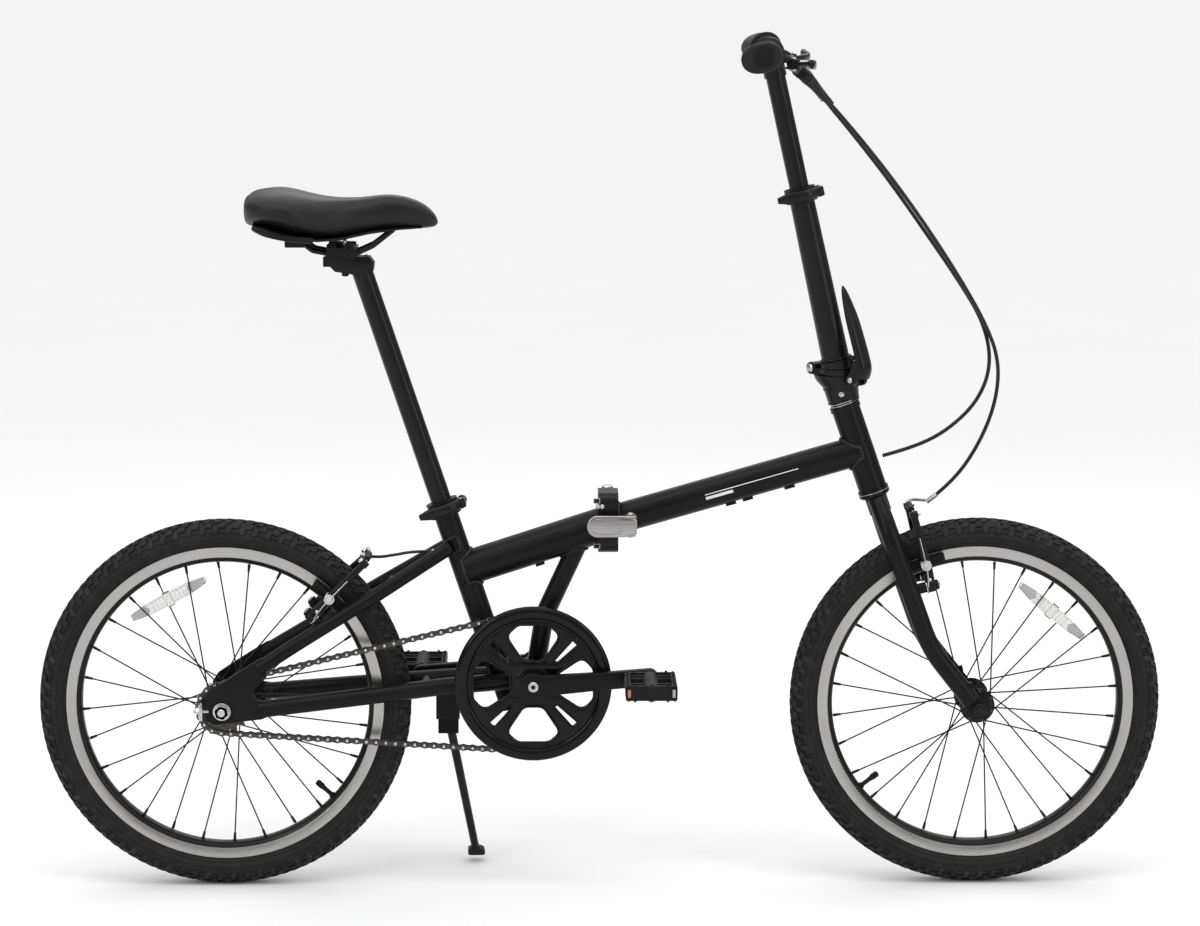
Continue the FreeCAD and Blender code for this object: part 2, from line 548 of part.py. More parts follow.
def make_stem_base():
    """Clamp on the steerer, its hinge eyes and latch lug, and the headset spacers below it."""
    centre, pin_dir, fall_dir = stem_hinge_frame()
    up = V(0, 0, 1)
    pin_spot = centre + fall_dir * STEM_PIN_OFFSET
    pivot = latch_pivot_point()
    body = fused(rod(steer_axis(648.0), steer_axis(668.0), 19.5),
                 taper(steer_axis(660.0), centre - up * (GAP / 2), 19.6, 24.0))
    body = body.cut(box((200, 420), (-80, 80), (centre.z - GAP / 2, centre.z + 60)))
    eyes = []
    for reach in ((-19, -8.3), (8.3, 19)):
        eyes.append(stem_eye(*reach))
        eyes.append(oriented_box(pin_spot, pin_dir, fall_dir, up, reach, (-24, 3), (-8.0, -GAP / 2)))
    lug = oriented_box(centre, pin_dir * -1, fall_dir * -1, up, (-7, 7), (15, 35), (-20, -4))
    body = body.multiFuse(eyes + [lug])
    body = body.cut(rod(pin_spot - pin_dir * 8.3, pin_spot + pin_dir * 8.3, STEM_EYE_R + GAP))
    body = body.cut(rod(steer_axis(620), steer_axis(668.5), 14.3))
    body = body.cut(rod(pin_spot - pin_dir * 40, pin_spot + pin_dir * 40, 3.5 + 0.02))
    for reach in ((-14, -7.0), (7.0, 14)):
        body = body.cut(rod(pivot + pin_dir * reach[0], pivot + pin_dir * reach[1], 8.5 + GAP))
    body = body.cut(rod(pivot - pin_dir * 20, pivot + pin_dir * 20, 3.0 + RUN_FIT))
    body = max(body.Solids, key=lambda s: s.Volume).removeSplitter()
    pin = rod(pin_spot - pin_dir * 22, pin_spot + pin_dir * 22, 3.5)
    spacers = [rod(steer_axis(z), steer_axis(z + 2.6), 18.0, 14.3) for z in (642.3, 645.1)]
    export("stem_base_and_spacers", Part.makeCompound([body, pin.cut(body)] + spacers))


def make_stem_latch():
    """Latch lever: two ears on the pin, joined by a bridge that carries the blade."""
    _, side, fall_dir = stem_hinge_frame()
    front = fall_dir * -1
    up = V(0, 0, 1)
    pivot = latch_pivot_point()
    lumps = [rod(pivot - side * 13, pivot + side * 13, 3.0)]
    for reach in ((-13, -7.3), (7.3, 13)):
        lumps.append(rod(pivot + side * reach[0], pivot + side * reach[1], 8.5))
        lumps.append(oriented_box(pivot, side, front, up, reach, (0, 12), (-3, 22)))
    bridge = oriented_box(pivot, side, front, up, (-13, 13), (8, 17), (6, 26))
    blade_start = pivot + front * 10.0 + up * 12.0
    blade_end = pivot + front * -24.0 + up * 122.0
    blade_dir = (blade_end - blade_start).normalize()
    blade = oriented_box(blade_start, side, side.cross(blade_dir), blade_dir, (-11, 11), (-4, 4), (-6, 115))
    export("stem_latch_lever", fused(bridge, blade, *lumps))


# ---- handlepost and handlebar ---------------------------------------------------------------
def bar_directions():
    along = V(math.sin(rad(BAR_TWIST)), math.cos(rad(BAR_TWIST)), 0)
    ahead = V(math.cos(rad(BAR_TWIST)), -math.sin(rad(BAR_TWIST)), 0)
    return along, ahead


BAR_S = (BAR_Z - POST_REF[1]) / math.cos(rad(POST_ANGLE))


def bar_point(s, forward=0.0, up=0.0):
    """Point near the bar: s along it to the left, then forward and up of the bar's own centre."""
    along, ahead = bar_directions()
    sweep = -BAR_SWEEP * max(0.0, abs(s) - 60.0) / (BAR_HALF - 60.0)
    return post_axis(BAR_S) + along * s + ahead * (forward + sweep) + V(0, 0, up)


def make_handlepost():
    centre, pin_dir, fall_dir = stem_hinge_frame()
    up = V(0, 0, 1)
    spot = centre + fall_dir * STEM_PIN_OFFSET
    eye = rod(spot - pin_dir * 8.0, spot + pin_dir * 8.0, STEM_EYE_R, 3.5 + RUN_FIT)
    web = oriented_box(spot, pin_dir, fall_dir, up, (-8, 8), (-22, 0), (GAP / 2, 7.0))
    ring = rod(centre - POST_DIR * 6, centre + POST_DIR * 12, 22.0)
    lower = rod(centre - POST_DIR * 6, centre + POST_DIR * 26, POST_LOW_R)
    outer = taper(centre + POST_DIR * 20, post_axis(POST_TOP_S), POST_LOW_R, POST_HIGH_R)
    clear = [rod(spot + pin_dir * a, spot + pin_dir * b, STEM_EYE_R + GAP) for a, b in ((-23, -8.0), (8.0, 23))]
    body = ring.multiFuse([lower, outer, web, eye.fuse(rod(spot - pin_dir * 8, spot + pin_dir * 8, STEM_EYE_R))])
    body = body.cut(box((200, 420), (-80, 80), (centre.z - 60, centre.z + GAP / 2)).cut(
        rod(spot - pin_dir * 8.0, spot + pin_dir * 8.0, STEM_EYE_R)))
    for piece in clear:
        body = body.cut(piece)
    body = body.cut(rod(post_axis(-8), post_axis(POST_TOP_S + 5), POST_INNER_R + RUN_FIT))
    body = body.cut(rod(spot - pin_dir * 40, spot + pin_dir * 40, 3.5 + RUN_FIT))
    export("handlepost_lower", max(body.Solids, key=lambda s: s.Volume).removeSplitter())

    collar_low = POST_TOP_S - 14.0
    core = taper(centre + POST_DIR * 20, post_axis(POST_TOP_S), POST_LOW_R, POST_HIGH_R)
    collar = rod(post_axis(collar_low), post_axis(POST_TOP_S + 2), 20.5, POST_INNER_R + 0.5).cut(core)
    export("handlepost_clamp", clamp_collar(collar, post_axis(collar_low + 8), POST_FRONT, POST_DIR, 20.5))
    export("handlepost_clamp_lever", clamp_lever(post_axis(collar_low + 8), POST_FRONT, POST_DIR, 20.5))

    inner = rod(post_axis(POST_TOP_S - POST_INSERTION), post_axis(BAR_S - 13.0), POST_INNER_R)
    along, _ = bar_directions()
    top = post_axis(BAR_S)
    head = rod(top - along * 21, top + along * 21, 17.5)
    neck = rod(post_axis(BAR_S - 34.0), post_axis(BAR_S - 6.0), 14.6)
    bar_bore = rod(top - along * 40, top + along * 40, BAR_R + 0.02)
    export("handlepost_upper", fused(inner, neck, head).cut(bar_bore))

    bar_points = [bar_point(-BAR_HALF), bar_point(-60), bar_point(60), bar_point(BAR_HALF)]
    bar, _ = bent_rod(bar_points, BAR_R, radius=300.0, bore=9.0)
    export("handlebar", bar)
    make_grips()
    make_brake_levers()


def clamp_collar(ring, centre, front, axis, ring_r):
    """Ring with a pair of ears at the front for the quick-release bolt."""
    side = axis.cross(front)
    ears = oriented_box(centre, front, side, axis, (ring_r - 4.0, ring_r + 9.0), (-9.0, 9.0), (-5.0, 5.0))
    return max(ring.fuse(ears).Solids, key=lambda s: s.Volume).cut(
        rod(centre + front * (ring_r + 4.0) - axis * 12 - side * 13.5, centre + front * (ring_r + 4.0)
            + axis * 12 - side * 13.5, 5.2)).removeSplitter()


def clamp_lever(centre, front, axis, ring_r):
    """Quick-release lever, hinged at the front right and wrapped round the right side."""
    side = axis.cross(front)
    pivot = centre + front * (ring_r + 4.0) - side * 13.5
    barrel = rod(pivot - axis * 6, pivot + axis * 6, 4.9)
    near = centre - side * (ring_r + 6.0) + front * (ring_r * 0.35)
    far = centre - side * (ring_r + 2.5) - front * (ring_r + 12.0)
    blade, _ = bent_rod([pivot, near, far], 4.3, radius=20.0)
    return fused(barrel, blade)


def make_grips():
    along, ahead = bar_directions()
    up = V(0, 0, 1)
    lean = (ahead * math.cos(rad(-14.0)) - up * math.sin(rad(-14.0))).normalize()
    grips = []
    for side in (-1, 1):
        start = bar_point(side * 168.0)
        end = bar_point(side * (BAR_HALF + 1.0))
        run = end - start
        across = run.cross(lean).normalize()
        oval = Part.Ellipse(start - lean * 3.0 - across * 2.0 * side + lean * 25.0,
                            start - lean * 3.0 - across * 2.0 * side + across * 18.0,
                            start - lean * 3.0 - across * 2.0 * side)
        body = Part.Face(Part.Wire(oval.toShape())).extrude(run)
        grips.append(body.cut(rod(start - run.normalize(), bar_point(side * BAR_HALF), BAR_R + 0.02)))
    export("grips", Part.makeCompound(grips))


def barrel_ends(side):
    """Ends of a brake lever's adjusting barrel, and where the cable leaves it."""
    along, ahead = bar_directions()
    start = bar_point(side * (LEVER_S - 42), 34.0, -20.0)
    heading = (along * (-side * 0.72) + ahead * 0.52 - V(0, 0, 0.46)).normalize()
    return start, start + heading * 24.0, start + heading * 25.0


def make_brake_levers():
    along, ahead = bar_directions()
    up = V(0, 0, 1)
    brackets = []
    for side, word in ((-1, "right"), (1, "left")):
        pivot = bar_point(side * LEVER_S, *LEVER_PIVOT)
        barrel_start, barrel_end, _ = barrel_ends(side)
        body = fused(rod(bar_point(side * (LEVER_S - 7)), bar_point(side * (LEVER_S + 7)), 16.0),
                     rod(bar_point(side * LEVER_S, 8, -4), pivot, 8.0),
                     rod(pivot, barrel_start, 7.0),
                     rod(pivot - up * 6, pivot + up * 6, 9.0),
                     rod(barrel_start, barrel_end, 4.5))
        slot = rod(pivot - up * 3.2, pivot + up * 3.2, 40.0).common(
            oriented_box(pivot, ahead, along * side, up, (-12, 40), (-10, 60), (-3.2, 3.2)))
        body = body.cut(rod(bar_point(side * 80), bar_point(side * 200), BAR_R + 0.02)).cut(slot)
        body = body.cut(rod(pivot - up * 20, pivot + up * 20, 2.5 + RUN_FIT))
        brackets.append(max(body.Solids, key=lambda s: s.Volume))

        knee = bar_point(side * (LEVER_S + 42), 56.0, -12.0)
        tip = bar_point(side * (BAR_HALF - 30), 46.0, -9.0)
        blade, _ = bent_rod([pivot + (knee - pivot).normalize() * 5.0, knee, tip], 4.2, radius=60.0)
        for low, high in ((2.9, 30), (-30, -2.9)):
            blade = blade.cut(oriented_box(pivot, ahead, along * side, up, (-60, 60), (-60, 12), (low, high)))
        root = rod(pivot - up * 2.9, pivot + up * 2.9, 8.0)
        pin = rod(pivot - up * 6, pivot + up * 6, 2.5)
        export(f"brake_lever_{word}", fused(root, blade, pin))
    export("brake_lever_brackets", Part.makeCompound(brackets))


# ---- seat -----------------------------------------------------------------------------------
def make_seat(seat_core):
    post = rod(seat_axis(405.0), seat_axis(SADDLE_TOP_Z - 12), SEAT_POST_R, 11.4)
    head = fused(rod(seat_axis(SADDLE_TOP_Z - 12), seat_axis(SADDLE_TOP_Z + 2), SEAT_POST_R),
                 box((-361, -301), (-13, 13), (824, 836)))
    head = head.cut(rod(seat_axis(700), seat_axis(SADDLE_TOP_Z - 12), 20))
    export("seat_post", fused(post, head))

    ring = rod(seat_axis(496.0), seat_axis(515.0), 21.0, SEAT_POST_R + 0.5).cut(seat_core)
    export("seat_clamp", clamp_collar(ring, seat_axis(506.0), SEAT_FRONT, SEAT_DIR, 21.0))
    export("seat_clamp_lever", clamp_lever(seat_axis(506.0), SEAT_FRONT, SEAT_DIR, 21.0))

    rail_points = [V(-392.0, -22.0, 861.0), V(-374.0, -22.0, 846.0), V(-352.0, -22.0, 842.0),
                   V(-318.0, -22.0, 842.0), V(-296.0, -20.0, 852.0), V(-270.0, -12.0, 872.0)]
    rail, _ = bent_rod(rail_points, 3.5, radius=14.0)
    rails = both_sides(rail)
    yoke = fused(box((-355, -317), (-30, 30), (836.2, 850.0)), box((-344, -328), (-8, 8), (836.2, 856)))
    bolt = rod(V(-330, -34, 846), V(-330, 34, 846), 4.0)
    yoke = fused(yoke, bolt).cut(rails)
    export("saddle_clamp", Part.makeCompound(yoke.Solids))
    export("saddle_rails", rails)

    plan = [V(-460, 0, 0), V(-457, 45, 0), V(-444, 82, 0), V(-420, 95, 0), V(-385, 84, 0), V(-345, 50, 0),
            V(-310, 31, 0), V(-260, 22, 0), V(-222, 19, 0), V(-211, 0, 0)]
    outline = Part.BSplineCurve()
    outline.interpolate(plan + [V(p.x, -p.y, 0) for p in reversed(plan[1:-1])], PeriodicFlag=True)
    prism = Part.Face(Part.Wire(outline.toShape())).extrude(V(0, 0, 200))
    prism.translate(V(0, 0, 780))
    top = [(-470, 880), (-458, 904), (-445, 918), (-420, 925.5), (-385, 921), (-345, 912.5),
           (-310, 914), (-268, 918), (-235, 909), (-215, 893), (-205, 880)]
    under = [(-205, 876), (-272, 874), (-330, 864), (-372, 858), (-410, 858), (-450, 872)]
    pad = side_plate(top + under, -120, 240).common(prism)
    base_profile = [(-440, 868.7), (-410, 857.7), (-372, 857.7), (-330, 863.7), (-272, 873.7), (-225, 875.4),
                    (-225, 870), (-272, 867), (-330, 857), (-372, 851), (-400, 851), (-432, 858), (-445, 866)]
    shrunk = prism.copy()
    shrunk.scale(0.9, V(-345, 0, 0))
    shrunk.translate(V(0, 0, 90))
    pad = pad.cut(rails)
    base = side_plate(base_profile, -120, 240).common(shrunk).cut(rails).cut(pad).cut(yoke)
    export("saddle_pad", max(pad.Solids, key=lambda s: s.Volume))
    export("saddle_base", max(base.Solids, key=lambda s: s.Volume))


# ---- drive ---------------------------------------------------------------------------------
def loop_face(offset):
    """Face inside a belt line round the chainring and the cog, grown by offset."""
    r_ring = CHAINRING_PITCH_R + offset
    r_cog = COG_PITCH_R + offset
    ring = V(BB_X, 0, BB_Z)
    cog = V(-WHEEL_X, 0, TYRE_R)
    span = cog - ring
    heading = math.atan2(span.z, span.x)
    open_angle = math.acos((r_ring - r_cog) / span.Length)

    def on(centre, r, angle):
        return centre + V(r * math.cos(angle), 0, r * math.sin(angle))

    up, down = heading - open_angle, heading + open_angle
    ring_up, ring_down = on(ring, r_ring, up), on(ring, r_ring, down)
    cog_up, cog_down = on(cog, r_cog, up), on(cog, r_cog, down)
    edges = [Part.LineSegment(ring_up, cog_up).toShape(),
             Part.Arc(cog_up, on(cog, r_cog, heading), cog_down).toShape(),
             Part.LineSegment(cog_down, ring_down).toShape(),
             Part.Arc(ring_down, on(ring, r_ring, heading + math.pi), ring_up).toShape()]
    return Part.Face(Part.Wire(edges))


def spider_directions(angle):
    """Outward and sideways directions at an angle round the crank's axis."""
    out = V(math.cos(rad(angle)), 0, math.sin(rad(angle)))
    return out, V(-out.z, 0, out.x)


def spider_windows():
    """The four rounded windows between the spider's arms, through chainring and guard."""
    windows = []
    for angle in (0, 90, 180, 270):
        out, across = spider_directions(angle)
        centre = V(BB_X, -60.0, BB_Z)
        corners = [centre + out * r + across * w for r, w in
                   ((31, -12), (62, -30), (76, -20), (76, 20), (62, 30), (31, 12))]
        window = Part.Face(Part.makePolygon(corners + corners[:1])).extrude(V(0, 25, 0))
        upright = [edge for edge in window.Edges if abs(edge.tangentAt(edge.FirstParameter).y) > 0.9]
        windows.append(window.makeFillet(7.0, upright))
    return Part.makeCompound(windows)


def spider_slots():
    """The four narrow slots down the middle of the spider's arms."""
    slots = []
    for angle in (45, 135, 225, 315):
        out, across = spider_directions(angle)
        slots.append(oriented_box(V(BB_X, 0, BB_Z) + out * 60, across, LEFT, out, (-4, 4), (-60, -40), (-18, 18)))
    return Part.makeCompound(slots)


def make_drive():
    band = loop_face(CHAIN_HALF).cut(loop_face(-CHAIN_HALF))
    chain = band.extrude(V(0, 6.6, 0))
    chain.translate(V(0, CHAIN_Y - 3.3, 0))
    export("chain", chain)

    ring_r = CHAINRING_PITCH_R - CHAIN_HALF - 0.5
    ring = disc(BB_X, BB_Z, ring_r, CHAIN_Y - RING_HALF, 2 * RING_HALF, 8.0)
    export("chainring", ring.cut(spider_windows()).cut(spider_slots()))

    cog = disc(-WHEEL_X, TYRE_R, COG_PITCH_R - CHAIN_HALF - 0.5, CHAIN_Y - RING_HALF, 2 * RING_HALF)
    sleeve = disc(-WHEEL_X, TYRE_R, 22.0, CHAIN_Y - 4.0, 8.0)
    export("rear_cog", fused(cog, sleeve).cut(disc(-WHEEL_X, TYRE_R, 16.0 + RUN_FIT, -60, 40)))

    spindle = disc(BB_X, BB_Z, 8.0, -ARM_OUTER_Y + 2, 2 * (ARM_OUTER_Y - 2))
    export("crank_spindle", spindle)

    guard = disc(BB_X, BB_Z, GUARD_R, -57.0, 5.0, 8.0).cut(spider_windows()).cut(spider_slots())
    spacer = disc(BB_X, BB_Z, 26.0, -52.0, CHAIN_Y - RING_HALF + 52.0, 8.0)
    export("chain_guard", fused(guard, spacer))

    axles = [pedal_axle(side) for side in (-1, 1)]
    arms = [crank_arm(side).cut(axle).cut(spindle) for side, axle in zip((-1, 1), axles)]
    export("crank_arms", Part.makeCompound(arms + axles))
    for side, word in ((-1, "right"), (1, "left")):
        export(f"pedal_{word}", pedal(side))


def pedal_centre(side):
    """Centre of a pedal axle at its arm: side -1 right, +1 left."""
    reach = CRANK_LENGTH * (1 if side < 0 else -1)
    return V(BB_X + reach * math.cos(rad(CRANK_TILT)), 0, BB_Z + reach * math.sin(rad(CRANK_TILT)))


def crank_arm(side):
    """Crank arm, tapered from its boss to the pedal's eye."""
    y = -ARM_OUTER_Y if side < 0 else ARM_INNER_Y
    depth = ARM_OUTER_Y - ARM_INNER_Y
    end = pedal_centre(side)
    boss = disc(BB_X, BB_Z, 17.5, -ARM_OUTER_Y if side < 0 else ARM_INNER_Y - 6.0, depth + 6.0)
    eye = disc(end.x, end.z, 12.0, y, depth)
    run = V(end.x - BB_X, 0, end.z - BB_Z).normalize()
    across = V(-run.z, 0, run.x)
    corners = [V(BB_X, y, BB_Z) + across * 14.5, V(end.x, y, end.z) + across * 10.5,
               V(end.x, y, end.z) - across * 10.5, V(BB_X, y, BB_Z) - across * 14.5]
    web = Part.Face(Part.makePolygon(corners + corners[:1])).extrude(V(0, depth, 0))
    return fused(boss, eye, web)


def pedal_axle(side):
    end = pedal_centre(side)
    low = -166.0 if side < 0 else ARM_INNER_Y + 1.0
    high = -ARM_INNER_Y - 1.0 if side < 0 else 166.0
    return disc(end.x, end.z, 6.0, low, high - low)


def pedal(side):
    """Cage pedal: a block with two windows, hollow for its axle."""
    end = pedal_centre(side)
    low, high = (-172.0, -81.0) if side < 0 else (81.0, 172.0)
    body = box((end.x - 34, end.x + 34), (low, high), (end.z - 12, end.z + 12))
    window = (low + 16, high - 16)
    for x in ((end.x - 28, end.x - 13), (end.x + 13, end.x + 28)):
        body = body.cut(box(x, window, (end.z - 20, end.z + 20)))
    return body.cut(disc(end.x, end.z, 6.0 + RUN_FIT, low - 1, high - low + 2))


# ---- rear axle, brakes, kickstand -------------------------------------------------------------
def make_rear_axle():
    axle = disc(-WHEEL_X, TYRE_R, AXLE_R, -71.0, 142.0)
    nut = hexagon(-WHEEL_X, TYRE_R, 10.0, -69.0, 6.4, AXLE_R).cut(axle)
    washer = disc(-WHEEL_X, TYRE_R, 11.0, -62.6, 1.4, AXLE_R).cut(axle)
    tensioner = fused(side_plate([(-522, 256), (-522, 234), (-526, 234), (-526, 256)], -65.0, 12.0),
                      rod(V(-533, -59, TYRE_R), V(-522, -59, TYRE_R), 2.5))
    hardware = both_sides(Part.makeCompound([nut, washer, tensioner]))
    export("rear_axle", Part.makeCompound([axle] + hardware.Solids))


def brake_arm(pivot, lean, wheel_x, side, outward):
    """V-brake arm on its boss, with its pad beside the rim. outward: which way the boss points."""
    spot, up, out = brake_frame(pivot, lean)
    out = out * outward
    spot = V(spot.x, side * 40.0, spot.z)
    inward = V(0, -side, 0)
    barrel = rod(spot - out * 6.0, spot + out * 6.4, 8.0)
    arm = oriented_box(spot, inward, out, up, (-5.0, 5.5), (-5.0, 5.0), (0, 97.0))
    wheel = V(wheel_x, 0, TYRE_R)
    pad_rise = PAD_R - math.hypot(spot.x - wheel.x, spot.z - wheel.z)
    pad_level = spot + up * pad_rise
    radial = V(pad_level.x - wheel.x, 0, pad_level.z - wheel.z).normalize()
    along = V(-radial.z, 0, radial.x)
    foot = wheel + radial * PAD_R
    pad = oriented_box(foot, inward * -1, along, radial, (RIM_HALF + 1.6, RIM_HALF + 11.0), (-27, 27), (-4.6, 4.6))
    stud = rod(V(foot.x, side * (RIM_HALF + 8.0), foot.z), V(foot.x, side * 50.0, foot.z), 3.4)
    return fused(barrel, arm, pad, stud).cut(rod(spot - out * 20, spot + out * 20, 4.0 + RUN_FIT))


def make_brakes():
    for side, word in ((-1, "right"), (1, "left")):
        export(f"front_brake_arm_{word}", brake_arm(FRONT_PIVOT, FRONT_ARM_LEAN, WHEEL_X, side, 1))
        export(f"rear_brake_arm_{word}", brake_arm(REAR_PIVOT, REAR_ARM_LEAN, -WHEEL_X, side, -1))


def make_kickstand():
    eye = rod(V(KICK_PIVOT.x, 26.3, KICK_PIVOT.z), V(KICK_PIVOT.x, 40.0, KICK_PIVOT.z), 9.0)
    leg = rod(KICK_PIVOT, KICK_FOOT, 6.0)
    foot = box((KICK_FOOT.x - 12, KICK_FOOT.x + 12), (KICK_FOOT.y - 8, KICK_FOOT.y + 14), (9.0, 16.0))
    export("kickstand_leg", fused(eye, leg, foot).cut(box((-230, -170), (0, 26.3), (190, 240))))


# ---- brake cables ------------------------------------------------------------------------------
def cable(name, points, r):
    solid, radii = bent_rod(points, r)
    runs = sum((b - a).Length for a, b in zip(points, points[1:]))
    print(f"{name}: radii {[round(x) for x in radii]}, runs {runs:.0f} mm, volume/section "
          f"{solid.Volume / (math.pi * r * r):.0f} mm")
    return solid


def make_cables():
    front = [barrel_ends(-1)[2], V(292, -62, 1036), V(330, -55, 993), V(372, -46, 942), V(418, -36, 880), V(460, -26, 818),
             V(500, -14, 752), V(521, -4, 700), V(519, 6, 645), V(500, 14, 590), V(468, 22, 538),
             V(438, 30, 512)]
    rear = [barrel_ends(1)[2], V(292, 48, 1038), V(332, 36, 990), V(376, 26, 934), V(420, 16, 872), V(466, 6, 806),
            V(500, -4, 750), V(510, -12, 696), V(492, -17, 648), V(452, -20, 610), V(408, -21, 588),
            V(368, -19, 577)]
    lower = [V(-217, 0, 447), V(-245, 4, 447), V(-272, 10, 441), V(-296, 18, 436), V(-312, 26, 437)]
    export("brake_cables_upper", Part.makeCompound([cable("front brake cable", front, 2.5),
                                                   cable("rear brake cable", rear, 2.5)]))
    export("rear_brake_cable_lower", cable("rear brake cable, lower run", lower, 2.0))


make_wheel("front", WHEEL_X, (23.0, 33.5, (49.6, 49.6), 13.0), 5.8, -142.1, 50.0)
make_wheel("rear", -WHEEL_X, (24.0, 28.0, (54.6, 54.6), 16.0), 2.6, -42.4, 118.0)
SEAT_CORE = make_rear_frame()
make_frame_hinge()
make_front_frame()
make_fork()
make_stem_base()
make_stem_latch()
make_handlepost()
make_seat(SEAT_CORE)
make_drive()
make_rear_axle()
make_brakes()
make_kickstand()
make_cables()
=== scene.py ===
"""Looks of the folding bicycle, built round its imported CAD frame.

Metres, +X forward, +Y to the rider's left, +Z up; the drive side faces -Y.
mm(...) turns drawing dimensions in millimetres into a point in metres.
"""
import json
import bmesh
import bpy
from math import acos, atan2, copysign, cos, degrees, exp, pi, radians, sin, sqrt, tan
from mathutils import Matrix, Vector


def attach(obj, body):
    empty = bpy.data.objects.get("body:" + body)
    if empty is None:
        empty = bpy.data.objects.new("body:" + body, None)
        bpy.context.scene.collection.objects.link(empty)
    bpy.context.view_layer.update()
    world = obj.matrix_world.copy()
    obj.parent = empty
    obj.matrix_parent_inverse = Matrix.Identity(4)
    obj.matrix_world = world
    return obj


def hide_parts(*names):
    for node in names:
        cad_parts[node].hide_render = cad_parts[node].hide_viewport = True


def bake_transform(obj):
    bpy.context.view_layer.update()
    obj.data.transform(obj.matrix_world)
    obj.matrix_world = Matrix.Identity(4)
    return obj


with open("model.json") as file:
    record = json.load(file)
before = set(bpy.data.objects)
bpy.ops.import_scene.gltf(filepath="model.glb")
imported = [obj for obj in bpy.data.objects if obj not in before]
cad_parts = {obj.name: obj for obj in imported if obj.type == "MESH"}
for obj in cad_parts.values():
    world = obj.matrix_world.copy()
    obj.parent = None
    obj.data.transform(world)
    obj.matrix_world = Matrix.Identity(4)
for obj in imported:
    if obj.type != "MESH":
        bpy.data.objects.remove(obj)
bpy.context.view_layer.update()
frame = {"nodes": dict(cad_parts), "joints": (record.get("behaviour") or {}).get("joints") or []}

X = Vector((1, 0, 0))
LEFT = Vector((0, 1, 0))
RIGHT = Vector((0, -1, 0))
UP = Vector((0, 0, 1))
JOINTS = {joint["name"]: joint for joint in frame["joints"]}


def mm(x, y, z):
    return Vector((x, y, z)) * 0.001


def turns(count):
    """Angles evenly spaced round a circle, in radians."""
    return [2 * pi * k / count for k in range(count)]


def in_side_view(angle):
    """Direction in the bike's own plane, this far up from straight ahead, in radians."""
    return Vector((cos(angle), 0, sin(angle)))


def beside(point, y):
    """The same place seen from the side, y millimetres to the left of the middle plane."""
    return Vector((point.x, y * 0.001, point.z))


def pivot(joint):
    return Vector(JOINTS[joint]["pos_m"])


def axis(joint):
    return Vector(JOINTS[joint]["axis"]).normalized()


FRONT_AXLE = pivot("front_wheel_spin")
REAR_AXLE = pivot("rear_wheel_spin")
CRANK = pivot("crank_spin")
STEER = axis("steer")
POST = axis("post_slide")
SEAT = axis("seat_slide")


def steer_point(z):
    """Point on the steering axis at height z, in millimetres."""
    at = pivot("steer")
    return at + STEER * ((z * 0.001 - at.z) / STEER.z)


def seat_point(z):
    return mm(-203.5, 0, 495.9) + SEAT * ((z - 495.9) * 0.001 / SEAT.z)


def post_point(s):
    """Point on the handlepost's axis, s millimetres above its foot."""
    return mm(306.0, 0, 706.0) + POST * (s * 0.001)


def ahead_of(direction):
    """The forward direction square to a tube that leans in the bike's own plane."""
    return Vector((direction.z, 0, -direction.x))


# ---- camera, light and floor ----------------------------------------------------------
CAMERA_AT = mm(-71.0, -4349.8, 1215.1)
CAMERA_YAW = 0.0160
CAMERA_PITCH = 0.1484
CAMERA_ROLL = 0.0013
CAMERA_LENS = 100.5


def make_camera():
    look = Vector((sin(CAMERA_YAW) * cos(CAMERA_PITCH),
                   cos(CAMERA_YAW) * cos(CAMERA_PITCH), -sin(CAMERA_PITCH)))
    level = Vector((cos(CAMERA_YAW), -sin(CAMERA_YAW), 0))
    rise = level.cross(look)
    side = level * cos(CAMERA_ROLL) + rise * sin(CAMERA_ROLL)
    rise = side.cross(look)
    data = bpy.data.cameras.new("camera")
    data.lens = CAMERA_LENS
    data.sensor_width = 36.0
    data.clip_end = 400.0
    camera = bpy.data.objects.new("camera", data)
    camera.matrix_world = Matrix((side, rise, -look)).transposed().to_4x4()
    camera.location = CAMERA_AT
    bpy.context.scene.collection.objects.link(camera)
    bpy.context.scene.camera = camera


def area_light(name, at, target, size, power):
    data = bpy.data.lights.new(name, "AREA")
    data.shape = "RECTANGLE"
    data.size, data.size_y = size
    data.energy = power
    lamp = bpy.data.objects.new(name, data)
    lamp.location = at
    lamp.rotation_euler = (target - at).to_track_quat("-Z", "Y").to_euler()
    bpy.context.scene.collection.objects.link(lamp)


